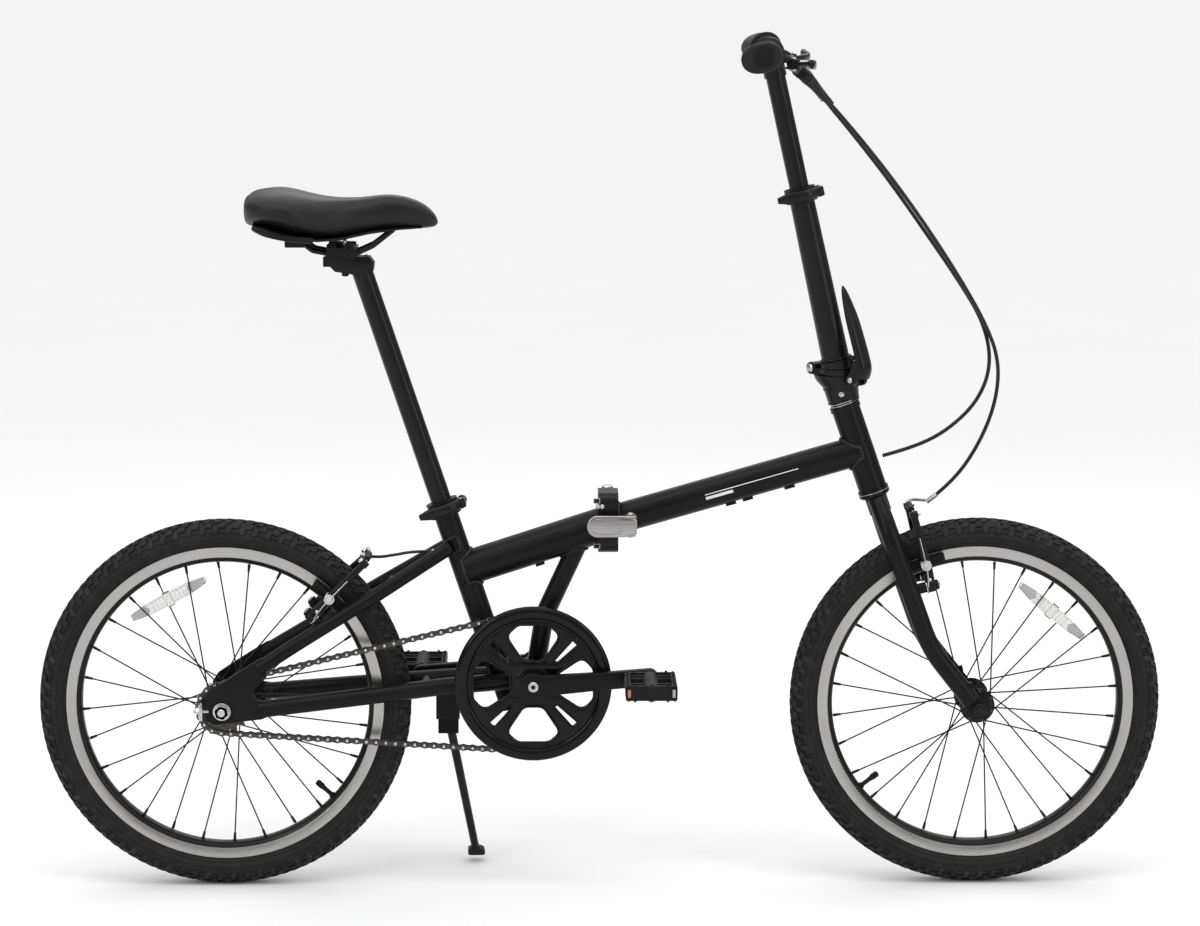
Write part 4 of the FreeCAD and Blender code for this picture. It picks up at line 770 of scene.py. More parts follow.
def make_guard():
    """Glossy chain guard: a stepped ring on four forked spokes."""
    centre = beside(CRANK, GUARD_Y)
    shape = Shape()
    shape.plate([circle(84.0, steps=120)] + WINDOWS + SLOTS + [circle(8.2)], centre, X, UP, 4.4, GLOSS,
                edge=1.2)
    rounded_rim = [(94.5 + 8.5 * cos(a), 1.0 - 4.6 * sin(a))
                   for a in (radians(12.0 * k) for k in range(16))]
    shape.lathe([(103.0, 2.0)] + rounded_rim + [(85.0, 1.2), (82.0, 1.2), (82.0, 2.2), (101.0, 2.5)], centre,
                LEFT, GLOSS, steps=160, closed=True)
    for loop, r in [(window, 1.9) for window in WINDOWS] + [(slot, 1.3) for slot in SLOTS]:
        rim = [centre + mm(x, -2.0, z) for x, z in loop]
        shape.loft(sweep_rings(rim, lambda i, r=r: r, closed=True, sides=10), GLOSS, closed=True)
    shape.torus(centre + RIGHT * 0.0004, LEFT, 84.6, 2.3, GLOSS, steps=160)
    shape.lathe([(8.2, -3.0), (21.0, -3.0), (23.5, -2.2), (26.0, 0), (26.0, 9.6), (8.2, 9.6)], centre, LEFT,
                GLOSS, closed=True)
    for i in range(4):
        a = radians(45.0 + 90.0 * i)
        bolt = centre + mm(80.5 * cos(a), 0, 80.5 * sin(a))
        shape.stub(bolt, LEFT, -3, 6, 3.0, GLOSS, steps=20)
    shape.finish("stepped_chain_guard", "crank", "chain_guard")


def make_crank():
    """Tapered arms with a recessed face, the square spindle's bolts, and the pedal axles."""
    shape = Shape()
    for side, joint in ((-1, "pedal_right_spin"), (1, "pedal_left_spin")):
        end = pivot(joint)
        out = LEFT * side
        root = beside(CRANK, side * 70.0)
        run = Vector((end.x - CRANK.x, 0, end.z - CRANK.z))
        along = run.normalized()
        across = UP * along.x - X * along.z
        length = run.length * 1000
        boss = circle(17.0, steps=20, start=60, sweep=240)
        eye = circle(11.6, length, 0, steps=14, start=-80, sweep=160)
        waist_low = [(30.0, -13.2), (length * 0.6, -11.6)]
        waist_high = [(length * 0.6, 11.6), (30.0, 13.2)]
        outline = boss + waist_low + eye + waist_high
        if side > 0:
            outline = [(x, -y) for x, y in outline]
            shape.plate([outline], root, along, across * -1, 12.0, PAINT, edge=2.2)
        else:
            shape.plate([outline], root, along, across, 12.0, PAINT, edge=2.2)
        shape.lathe([(9.0, -6.5), (17.0, -6.5), (18.0, -5.8), (18.0, 5.0), (16.5, 6.0), (12.5, 6.2),
                     (11.5, 5.2), (9.0, 4.6)], root, out, PAINT, steps=64, closed=True)
        face = root + out * 0.0040
        shape.lathe([(0, 1.5), (2.6, 1.7), (3.0, 2.4), (6.3, 2.4), (6.9, 1.8), (6.9, -2.0), (0, -2.0)], face,
                    out, STEEL, steps=48)
        shape.lathe([(7.0, 0.2), (9.1, 0.2), (9.3, -1.0), (7.0, -1.0)], face, out, STEEL, steps=48,
                    closed=True)
        boss_end = beside(end, side * 64.0)
        shape.stub(boss_end, out, 0, 102, 6.0, DARK_STEEL, r_end=5.6)
        shape.stub(boss_end, out, 12.5, 16.5, 8.0, STEEL, steps=6)
    shape.finish("crank_arms_and_bolts", "crank", "crank_arms")
    repaint(DARK_STEEL, "crank_spindle")


def make_pedal(side, joint, name):
    """Resin platform pedal: ribbed body, toothed cage rails, studs and four reflectors."""
    centre = beside(pivot(joint), side * PEDAL_MIDDLE_Y)
    shape = Shape()
    half_x, half_y, half_z = 33.0, 44.0, 11.0
    shape.stub(centre, LEFT, -45, 45, 11.0, PLASTIC, edge=2.0)
    for u in (-1, 1):
        rail = centre + X * (u * (half_x - 3.5) * 0.001)
        shape.block(rail, (7.0, 2 * half_y - 6, 2 * half_z - 3), PLASTIC, edge=1.6)
        for k in range(9):
            spot = rail + LEFT * ((k - 4) * 9.6 * 0.001)
            for w in (-1, 1):
                shape.stub(spot, UP * w, 8.5, 11.8, 2.0, PLASTIC, r_end=1.2, steps=8)
        for w in (-1, 1):
            for k in (-1, 1):
                shape.block(rail + X * (u * 0.0033) + LEFT * (k * 0.020), (1.6, 26.0, 11.0), AMBER, edge=0.5)
    for w in (-1, 1):
        wing = centre + LEFT * (w * (half_y - 3) * 0.001)
        shape.block(wing, (2 * half_x, 6.0, 2 * half_z - 2), PLASTIC, edge=2.0)
        for u in (-1, 1):
            shape.block(wing + X * (u * 0.0285) + LEFT * (w * 0.0028), (4.5, 1.4, 11.0),
                        AMBER if u < 0 else FROSTED, edge=0.5)
            shape.block(wing + UP * (u * 0.0052) + LEFT * (w * 0.0026), (38.0, 1.6, 3.0), PLASTIC, edge=0.6)
        for k in (-1, 0, 1):
            for v in (-1, 1):
                spot = wing + X * (k * 0.021)
                shape.stub(spot, UP * v, 8.8, 12, 2.2, PLASTIC, r_end=1.4, steps=8)
    for k in (-2, -1, 1, 2):
        shape.block(centre + LEFT * (k * 0.0155), (2 * half_x - 8, 4.0, 15.0), PLASTIC, edge=1.0)
    shape.lathe([(6.2, -46), (9.5, -46), (10.0, -45), (10.0, -42), (6.2, -42)], centre, LEFT * side,
                DARK_STEEL, closed=True)
    shape.finish(f"{name}_platform", f"{name}_body", name)


def make_drive():
    make_chain()
    make_chainring()
    make_guard()
    make_crank()
    make_pedal(-1, "pedal_right_spin", "pedal_right")
    make_pedal(1, "pedal_left_spin", "pedal_left")


# ---- frame ------------------------------------------------------------------------------
def sweep_rings(points, radius_at, closed=False, sides=12):
    """Rings square to a line of points, for Shape.loft, turned as little as possible along it."""
    rings = []
    normal = None
    count = len(points)
    for i, spot in enumerate(points):
        after = points[(i + 1) % count] if closed or i < count - 1 else spot
        before = points[i - 1] if closed or i else spot
        heading = (after - before).normalized()
        if normal is None:
            normal = heading.orthogonal()
        normal = (normal - heading * normal.dot(heading)).normalized()
        side = heading.cross(normal)
        r = radius_at(i) * 0.001
        rings.append([spot + (normal * cos(t) + side * sin(t)) * r
                      for t in turns(sides)])
    return rings


def ring_round(foot, heading, r, count):
    """Points round a tube of radius r, in millimetres, square to its heading."""
    u = heading.orthogonal().normalized()
    w = heading.cross(u)
    return [foot + (u * cos(t) + w * sin(t)) * (r * 0.001) for t in turns(count)]


def weld_line(foot, heading, r, other, other_heading, other_r):
    """Where a tube of radius r, running along heading, first meets another round tube."""
    points = []
    for start in ring_round(foot, heading, r, 120):
        gap = start - other
        gap -= other_heading * gap.dot(other_heading)
        step = heading - other_heading * heading.dot(other_heading)
        a, b, c = step.dot(step), gap.dot(step), gap.dot(gap) - (other_r * 0.001) ** 2
        root = sqrt(max(b * b - a * c, 0.0))
        points.append(start + heading * ((-b - root) / a))
    return points


def add_weld(shape, points, r=2.3):
    def ripple(i):
        return r * (1.0 + 0.16 * sin(i * 2 * pi / 3.0) + 0.05 * sin(i * 1.7))
    shape.loft(sweep_rings(points, ripple, closed=True, sides=8), WELD, closed=True)


def plane_line(foot, heading, r, x):
    """Where a round tube meets an upright plate at x, in millimetres."""
    starts = ring_round(foot, heading, r, 96)
    return [start + heading * ((x * 0.001 - start.x) / heading.x) for start in starts]


HINGE = pivot("frame_fold")
FRONT_SLOPE = in_side_view(radians(16.0))
REAR_SLOPE = in_side_view(radians(18.0))
FRONT_TUBE_AT = mm(45.0, 0, 497.0)
REAR_TUBE_AT = mm(-4.0, 0, 480.9)


def make_frame():
    repaint(PAINT, "seat_tube", "rear_main_tube", "support_strut", "bottom_bracket", "chainstays",
            "seatstays", "dropouts", "stay_bridges_and_bosses", "front_main_tube", "head_tube",
            "fork_steerer", "fork_blades")
    repaint(BLACK_ALLOY, "rear_hinge_flange", "front_hinge_flange", "seat_clamp", "handlepost_clamp",
            "front_axle", "stem_base_and_spacers", "handlepost_lower", "handlepost_upper", "handlebar",
            "seat_post")
    repaint(STEEL, "rear_axle")
    repaint(BLACK_ALLOY, "saddle_clamp", "saddle_rails")
    repaint(PLASTIC, "brake_lever_brackets")

    front = Shape()
    head = steer_point(580.0)
    add_weld(front, weld_line(FRONT_TUBE_AT + FRONT_SLOPE * 0.1, FRONT_SLOPE, 20.4, head, STEER, 18.9), 2.6)
    add_weld(front, plane_line(FRONT_TUBE_AT, FRONT_SLOPE, 20.4, 22.6))
    for z, r in ((530.0, 20.6), (524.5, 20.7), (637.0, 20.3), (641.6, 20.0)):
        at = steer_point(z)
        front.torus(at, STEER, r - 0.9, 1.1, GLOSS)
    front.torus(steer_point(527.4), STEER, 20.1, 0.5, STEEL)
    front.finish("front_frame_welds_and_cups", "front_frame")

    rear = Shape()
    seat = seat_point(440.0)
    add_weld(rear, weld_line(REAR_TUBE_AT - REAR_SLOPE * 0.08, REAR_SLOPE * -1, 23.4, seat, SEAT, 16.1), 2.6)
    add_weld(rear, plane_line(REAR_TUBE_AT, REAR_SLOPE, 23.4, -4.4))
    strut_top, strut_bend, strut_foot = mm(-30.0, 0, 458.0), mm(-74.5, 0, 362.0), CRANK + mm(2.0, 0, 5.0)
    add_weld(rear, weld_line(strut_bend, (strut_top - strut_bend).normalized(), 12.9, REAR_TUBE_AT,
                             REAR_SLOPE, 23.2))
    add_weld(rear, weld_line(strut_bend, (strut_foot - strut_bend).normalized(), 12.9, CRANK, LEFT, 20.7))
    for side in (-1, 1):
        low, high = mm(-290.0, side * 39.5, 399.0), mm(-198.0, side * 16.0, 455.5)
        add_weld(rear, weld_line(low, (high - low).normalized(), 9.5, seat, SEAT, 16.1), 2.0)
        rear.torus(CRANK + LEFT * (side * 0.0335), LEFT, 19.6, 0.9, PAINT)
    rear.torus(seat_point(510.0), SEAT, 15.4, 0.9, PAINT)
    rear.finish("rear_frame_welds", "rear_frame")


def make_pinstripes():
    """Plain pale stripes along the drive side of the front main tube, in place of any lettering."""
    shape = Shape()
    up = FRONT_SLOPE.cross(LEFT) * -1
    for low, high, start, end in ((-7.0, -4.0, 95.0, 222.0), (3.0, 14.0, 95.0, 132.0)):
        rings = []
        for s in (start, start + 0.01, end - 0.01, end):
            at = FRONT_TUBE_AT + FRONT_SLOPE * (s * 0.001)
            outer = [at + (RIGHT * cos(a) + up * sin(a)) * 0.02022
                     for a in (radians(low + (high - low) * k / 6) for k in range(7))]
            inner = [at + (RIGHT * cos(a) + up * sin(a)) * 0.01995
                     for a in (radians(high - (high - low) * k / 6) for k in range(7))]
            rings.append(outer + inner)
        shape.loft(rings, STRIPE)
    shape.finish("plain_pinstripes", "front_frame")


def make_frame_hinge():
    """Brushed latch lever with a rounded end and a fork round its pin, and the hinge's bolts."""
    pin = pivot("frame_latch")
    shape = Shape()
    face = beside(pin, -53.2)
    round_end = circle(14.2, -43.0, 0, steps=20, start=90, sweep=180)
    outline = round_end + [(-8.0, -14.0), (2.0, -11.5), (8.0, -8.5), (8.0, 8.5), (2.0, 11.5), (-8.0, 14.0)]
    shape.plate([outline], face, X, UP, 5.4, BRUSHED, edge=1.4)
    inner = circle(9.5, -42.0, 0, steps=20, start=90, sweep=180) + [(-14.0, -9.5), (-14.0, 9.5)]
    shape.plate([outline_ring(inner, 1.0), inner], face + RIGHT * 0.0030, X, UP, 1.6, BRUSHED, edge=0.4)
    for level in (-9.5, 9.5):
        at = pin + UP * (level * 0.001)
        shape.stub(at, UP, -4, 4, 8.0, BRUSHED, edge=1.2)
        shape.block(at + mm(0, -7.0, 0), (13.0, 13.0, 8.0), BRUSHED, edge=1.4)
    shape.stub(pin, UP, -16.5, 16.5, 3.0, STEEL)
    for level in (-15.0, 13.0):
        shape.stub(pin, UP, level, level + 2.6, 5.2, STEEL, steps=6)
    shape.block(mm(7.0, -40.0, HINGE.z * 1000), (15.0, 19.0, 22.0), BLACK_ALLOY, edge=2.0)
    shape.finish("frame_latch_brushed_lever", "frame_latch", "frame_latch_lever")

    bolts = Shape()
    for x in (-1.5, 4.0):
        at = mm(x - 3.0, -27.0, HINGE.z * 1000 + 23.0)
        bolts.stub(at, RIGHT, 0, 7.5, 3.0, STEEL, steps=20)
    for level in (-1, 1):
        at = HINGE + UP * (level * 0.0368)
        bolts.lathe([(0, 3.2), (5.0, 2.8), (7.0, 1.2), (7.4, 0), (7.4, -1.0), (0, -1.0)], at, UP * level,
                    STEEL)
    for level in (-30.0, 30.0):
        at = mm(-6.0, 0, HINGE.z * 1000 + level)
        bolts.block(at + RIGHT * 0.0285, (9.0, 4.0, 7.0), BLACK_ALLOY, edge=1.0)
    bolts.finish("frame_hinge_bolts", "rear_frame")


def outline_ring(loop, grow):
    """The same outline, pushed outward from its middle by about grow."""
    middle = sum((Vector(p) for p in loop), Vector((0, 0))) / len(loop)
    return [tuple(Vector(p) + (Vector(p) - middle).normalized() * grow) for p in loop]


# ---- handlepost, clamps, cockpit ------------------------------------------------------------
def oval_rings(points, across, sizes, sides=20, power=1.0):
    """Oval rings along a line: across is the direction of each ring's first size."""
    rings = []
    count = len(points)
    for i, spot in enumerate(points):
        heading = (points[min(i + 1, count - 1)] - points[max(i - 1, 0)]).normalized()
        first = (across - heading * across.dot(heading)).normalized()
        second = heading.cross(first)
        a, b = sizes[i]
        ring = []
        for t in turns(sides):
            c, s = cos(t), sin(t)
            ring.append(spot + first * (copysign(abs(c) ** power, c) * a * 0.001)
                        + second * (copysign(abs(s) ** power, s) * b * 0.001))
        rings.append(ring)
    return rings


def smooth_points(points, samples=8):
    """Points read along the smooth line that has these control points."""
    data = smooth_line(points, 0.0)
    data.splines[0].resolution_u = samples
    mesh = mesh_of(data)
    line = [v.co.copy() for v in mesh.vertices]
    bpy.data.meshes.remove(mesh)
    return line


def mix(low, high, t):
    return low + (high - low) * t


def add_limb(shape, points, across, size_at, material, sides=20, power=1.0):
    """Oval limb along a smooth line; size_at gives its half sizes as t goes from 0 to 1."""
    line = smooth_points(points)
    sizes = [size_at(i / (len(line) - 1)) for i in range(len(line))]
    shape.loft(oval_rings(line, across, sizes, sides, power), material)


def make_quick_release(name, body, node, fixed_body, joint, centre, direction, ring_r):
    """Cam lever wrapped round the right of a clamp, with its bolt, washer and thumb nut."""
    front = ahead_of(direction)
    side = direction.cross(front)
    turn = pivot(joint)
    lever = Shape()
    lever.stub(turn, direction, -6.2, 6.2, 5.4, BLACK_ALLOY, edge=1.0)
    for level in (-1, 1):
        lever.stub(turn, direction * level, 6, 7.2, 2.6, STEEL)
    near = centre - side * ((ring_r + 7.0) * 0.001) + front * (ring_r * 0.00055)
    mid = centre - side * ((ring_r + 6.0) * 0.001) - front * (ring_r * 0.0004)
    far = centre - side * ((ring_r + 3.0) * 0.001) - front * ((ring_r + 11.5) * 0.001)

    def lever_size(t):
        thin = max(0.0, t - 0.85) / 0.15
        return 6.4 + 1.0 * t - 3.6 * thin, 3.6 - 0.8 * t - 1.2 * thin

    add_limb(lever, [turn, near, mid, far], direction, lever_size, BLACK_ALLOY)
    lever.finish(f"{name}_cam_lever", body, node)

    bolt = Shape()
    at = centre + front * ((ring_r + 4.0) * 0.001)
    bolt.stub(at, side, -7.5, 12.5, 2.6, STEEL)
    bolt.lathe([(2.8, 9.0), (6.0, 9.0), (6.6, 10.0), (6.6, 15.0), (5.4, 16.6), (0, 17.2)], at, side,
               BLACK_ALLOY, steps=24)
    bolt.lathe([(2.8, -9.6), (5.6, -9.6), (5.6, -8.9), (2.8, -8.9)], at, side, STEEL, closed=True)
    for level in (-8.6, 8.6):
        bolt.torus(centre + direction * (level * 0.001), direction, ring_r - 0.6, 0.9, BLACK_ALLOY)
    bolt.finish(f"{name}_bolt_and_rings", fixed_body)


def make_stem():
    latch = pivot("stem_latch")
    side = axis("stem_latch")
    front = Vector((side.y, -side.x, 0)).normalized()
    lever = Shape()
    for level in (-1, 1):
        at = latch + side * (level * 0.0100)
        lever.stub(at, side, -2.8, 2.8, 8.4, BLACK_ALLOY, edge=0.8)
        cheek = [at, at + front * 0.006 + UP * 0.010, at + front * 0.0085 + UP * 0.026]
        add_limb(lever, cheek, side, lambda t: (2.7, mix(8.0, 6.5, t)), BLACK_ALLOY, power=0.6)
        lever.stub(at, side * level, 2.6, 4.2, 4.0, STEEL, steps=6)
    spine = [latch + front * (f * 0.001) + UP * (u * 0.001)
             for f, u in ((9.0, 4), (13.0, 15), (9.0, 31), (1.5, 52), (-7.5, 76), (-17.0, 100), (-25.5, 121))]

    def blade_size(t):
        tip = sqrt(max(0.004, 1.0 - max(0.0, (t - 0.62) / 0.38) ** 2))
        bulge = 1.4 * exp(-((t - 0.10) / 0.07) ** 2)
        return (13.0 - 2.0 * t) * tip, 0.8 + (6.6 - 2.2 * t + bulge) * tip

    add_limb(lever, spine, side, blade_size, BLACK_ALLOY, sides=24, power=0.9)
    lever.finish("stem_latch_sculpted_lever", "stem_latch", "stem_latch_lever")

    base = Shape()
    for z, r in ((649.0, 20.0), (667.5, 20.0)):
        base.torus(steer_point(z), STEER, r - 0.8, 1.2, BLACK_ALLOY)
    for z in (643.6, 646.4):
        base.torus(steer_point(z), STEER, 17.4, 0.9, STEEL)
    foot = post_point(-17.0)
    base.torus(foot - UP * 0.0016, UP, 23.2, 1.3, BLACK_ALLOY)
    fold = pivot("stem_fold")
    fold_dir = axis("stem_fold")
    for level in (-1, 1):
        at = fold + fold_dir * (level * 0.0190)
        base.lathe([(0, 4.4), (3.4, 4.2), (5.4, 3.0), (5.8, 1.6), (5.8, 0.0), (0, 0.0)], at, fold_dir * level,
                   STEEL)
    base.lathe([(0, 2.4), (3.2, 2.2), (4.2, 1.2), (4.2, -1.0), (0, -1.0)],
               steer_point(658.0) + RIGHT * 0.0192, RIGHT, STEEL, steps=24)
    rings = []
    for drop, spread_out in ((8.6, 1.0), (12.0, 1.0), (17.0, 0.86), (24.0, 0.45), (33.0, 0.10), (39.0, 0.0)):
        middle = foot.lerp(steer_point(644.0), min(1.0, drop / 39.0))
        middle.z = foot.z - drop * 0.001
        ring = []
        for angle in turns(56):
            beak = max(0.0, -cos(angle)) ** 1.6
            r = 20.4 + spread_out * (2.4 + 3.2 * sin(angle) ** 2 + 13.0 * beak)
            ring.append(middle + (front * cos(angle) + side * sin(angle)) * (r * 0.001))
        rings.append(ring)
    base.loft(rings, BLACK_ALLOY)
    base.finish("stem_base_cowl_and_bolts", "fork")

    post = Shape()
    post.torus(foot + UP * 0.0022, UP, 21.6, 1.3, BLACK_ALLOY)
    post.torus(post_point(-3.0), POST, 19.4, 1.6, BLACK_ALLOY)
    post.torus(post_point(206.0), POST, 15.9, 0.8, BLACK_ALLOY)
    hook = foot + front * 0.0215 + UP * 0.0105
    post.block(hook, (11.0, 7.0, 13.0), BLACK_ALLOY, (side, front, UP), edge=1.6)
    post.stub(hook, front, 2, 6.2, 3.6, STEEL, steps=6)
    post.finish("handlepost_foot_rings_and_hook", "stem_post")


BAR_TWIST = 3.3
BAR_SWEEP = 8.0
BAR_HALF = 287.0
BAR_ALONG = Vector((sin(radians(BAR_TWIST)), cos(radians(BAR_TWIST)), 0))
BAR_AHEAD = Vector((cos(radians(BAR_TWIST)), -sin(radians(BAR_TWIST)), 0))
BAR_CENTRE = post_point(396.0 / POST.z)
LEVER_S = 132.0


def bar_point(s, forward=0.0, up=0.0):
    """Point near the bar: s millimetres along it to the left, then forward and up of its centre."""
    sweep = -BAR_SWEEP * max(0.0, abs(s) - 60.0) / (BAR_HALF - 60.0)
    return BAR_CENTRE + (BAR_ALONG * s + BAR_AHEAD * (forward + sweep) + UP * up) * 0.001


def make_grips():
    shape = Shape()
    down_back = (BAR_AHEAD * -cos(radians(14.0)) - UP * sin(radians(14.0)))
    for side in (-1, 1):
        stations = ((168.0, 19.5, 19.5, 0.0), (169.5, 21.0, 21.0, 0.0), (172.5, 21.0, 21.0, 0.0),
                    (174.5, 16.8, 16.6, 0.0), (190.0, 16.8, 16.8, 0.4), (212.0, 17.8, 16.8, 1.2),
                    (236.0, 20.0, 17.0, 2.6), (262.0, 23.4, 17.6, 4.0), (280.0, 25.6, 18.6, 4.4),
                    (286.5, 25.0, 18.2, 4.4), (288.4, 22.4, 15.8, 4.4))
        points = [bar_point(side * s) + down_back * (shift * 0.001) for s, _, _, shift in stations]
        shape.loft(oval_rings(points, down_back, [(a, b) for _, a, b, _ in stations], sides=40, power=0.92),
                   GRIP)
        for s in (182.0, 188.0, 194.0, 200.0, 206.0, 212.0, 218.0, 224.0, 230.0):
            r = 17.1 + max(0.0, s - 200.0) * 0.008
            shape.torus(bar_point(side * s), BAR_ALONG, r - 0.5, 0.9, GRIP, steps=40, sides=8)
        end = bar_point(side * 288.4)
        out = BAR_ALONG * side
        shape.torus(end, out, 15.0, 1.0, GRIP, steps=48, sides=8)
        shape.lathe([(0, 0.3), (11.0, 0.7), (12.6, 0.2), (12.6, -1.0), (0, -1.0)], end, out, PLASTIC,
                    steps=48)
    shape.finish("shaped_grips", "bar_post", "grips")


def make_levers():
    """Brake lever blades, their brackets' bolts, adjusting barrels and cable boots."""
    fixings = Shape()
    for side, word in ((-1, "right"), (1, "left")):
        turn = pivot(f"brake_lever_{word}_pull")
        lever = Shape()
        path = [turn + (BAR_AHEAD * f + BAR_ALONG * (side * s) + UP * u) * 0.001
                for f, s, u in ((2, 4, 0), (16, 18, 0.5), (25, 40, 1.0), (26, 70, 1.5), (21, 98, 2.5),
                                (17, 118, 3.5), (21, 128, 4.0))]
        add_limb(lever, path, UP, lambda t: (2.9 + 3.4 * min(1.0, t * 2.2) - 0.8 * t, 3.0 - 0.5 * t),
                 BLACK_ALLOY, sides=16, power=0.8)
        lever.stub(turn, UP, -2.9, 2.9, 7.8, BLACK_ALLOY, edge=0.6)
        lever.stub(turn, UP, -6.6, 6.6, 2.5, STEEL)
        tip = path[-1]
        lever.stub(tip, UP, -4, 4, 4.2, BLACK_ALLOY, edge=1.6)
        lever.finish(f"brake_lever_{word}_blade", f"lever_{word}", f"brake_lever_{word}")

        for level in (-1, 1):
            fixings.stub(turn, UP * level, 6, 8.6, 4.4, STEEL, steps=24)
        clamp = bar_point(side * LEVER_S)
        for level in (-6.6, 6.6):
            fixings.torus(clamp + BAR_ALONG * (level * 0.001), BAR_ALONG, 15.4, 0.9, PLASTIC, steps=40)
        fixings.stub(clamp + BAR_AHEAD * 0.006, UP, -10, -19.5, 3.4, STEEL, steps=24)
        start, end = barrel_ends(side)
        heading = (end - start).normalized()
        ridges = [(7.0 if k % 2 else 8.2, 2.0 + k * 1.1) for k in range(10)]
        fixings.lathe([(0, 0), (7.2, 0.6)] + ridges + [(7.6, 14.0), (8.0, 24.0), (7.0, 26.0), (0, 26.0)],
                      start, heading, PLASTIC, steps=24)
        fixings.stub(start, heading, -1, 1.4, 6.8, STEEL, steps=24)
        boot = end + heading * 0.0005
        line = smooth_points([boot, boot + heading * 0.012, CABLES[word][0].lerp(CABLES[word][1], 0.55),
                              CABLES[word][1]])
        fixings.loft(sweep_rings(line, lambda i, n=len(line): 8.2 - 4.2 * i / n + (0.4 if i % 2 else 0.0),
                                 sides=16),
                     HOUSING)
    for s in (-13.0, 13.0):
        at = bar_point(s, 13.0, -9.0)
        heading = (BAR_AHEAD * 0.75 - UP * 0.66).normalized()
        fixings.stub(at, heading, 0, 6.2, 3.9, STEEL, steps=24)
        fixings.lathe([(0, 6.4), (1.9, 6.3), (2.1, 4.0), (0, 4.0)], at, heading, DARK_STEEL, steps=6)
    for s in (-20.6, 20.6):
        fixings.torus(bar_point(s), BAR_ALONG, 16.6, 1.1, BLACK_ALLOY)
    fixings.finish("cockpit_bolts_barrels_and_boots", "bar_post")


def barrel_ends(side):
    start = bar_point(side * (LEVER_S - 42), 34.0, -20.0)
    heading = (BAR_ALONG * (-side * 0.72) + BAR_AHEAD * 0.52 - UP * 0.46).normalized()
    return start, start + heading * 0.025


# The brake cables' routes, from the levers down to the front brake and into the head tube.
CABLES = {
    "right": [barrel_ends(-1)[1], mm(292, -62, 1036), mm(330, -55, 993), mm(372, -46, 942), mm(418, -36, 880),
              mm(460, -26, 818), mm(500, -14, 752), mm(521, -4, 700), mm(519, 6, 645), mm(500, 14, 590),
              mm(468, 22, 538), mm(438, 30, 512)],
    "left": [barrel_ends(1)[1], mm(292, 48, 1038), mm(332, 36, 990), mm(376, 26, 934), mm(420, 16, 872),
             mm(466, 6, 806), mm(500, -4, 750), mm(510, -12, 696), mm(492, -17, 648), mm(452, -20, 610),
             mm(408, -21, 588), mm(368, -19, 577)],
}
LOWER_CABLE = [mm(-217, 0, 447), mm(-245, 4, 447), mm(-272, 10, 441), mm(-296, 18, 436), mm(-312, 26, 437)]


def make_cables():
    """Each cable is one smooth line, cut where it passes from one moving part's reach to the next."""
    reaches = {"right": (("bar_post", "stem_post", 0.0, 0.22), ("stem_post", "fork", 0.22, 1.0)),
               "left": (("bar_post", "stem_post", 0.0, 0.22), ("stem_post", "fork", 0.22, 0.62),
                        ("fork", "front_frame", 0.62, 1.0))}
    first = True
    for word, spans in reaches.items():
        line = smooth_points(CABLES[word], samples=12)
        count = len(line) - 1
        for body, next_body, start, end in spans:
            stretch = line[round(count * start):round(count * end) + 1]
            shape = Shape()
            shape.loft(sweep_rings(stretch, lambda i: 2.5, sides=14), HOUSING)
            piece = shape.finish(f"brake_cable_{word}_{body}", None)
            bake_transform(piece)
            if first:
                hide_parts("brake_cables_upper")
            first = False
    lower = Shape()
    line = smooth_points(LOWER_CABLE)
    lower.loft(sweep_rings(line, lambda i: 2.0, sides=14), HOUSING)
    heading = (line[1] - line[0]).normalized()
    lower.stub(line[0], heading, -6, 6, 3.2, STEEL, steps=20)
    lower.finish("rear_brake_lower_cable_and_ferrule", "rear_frame", "rear_brake_cable_lower")


# ---- brakes ---------------------------------------------------------------------------------
PAD_R = 202.8


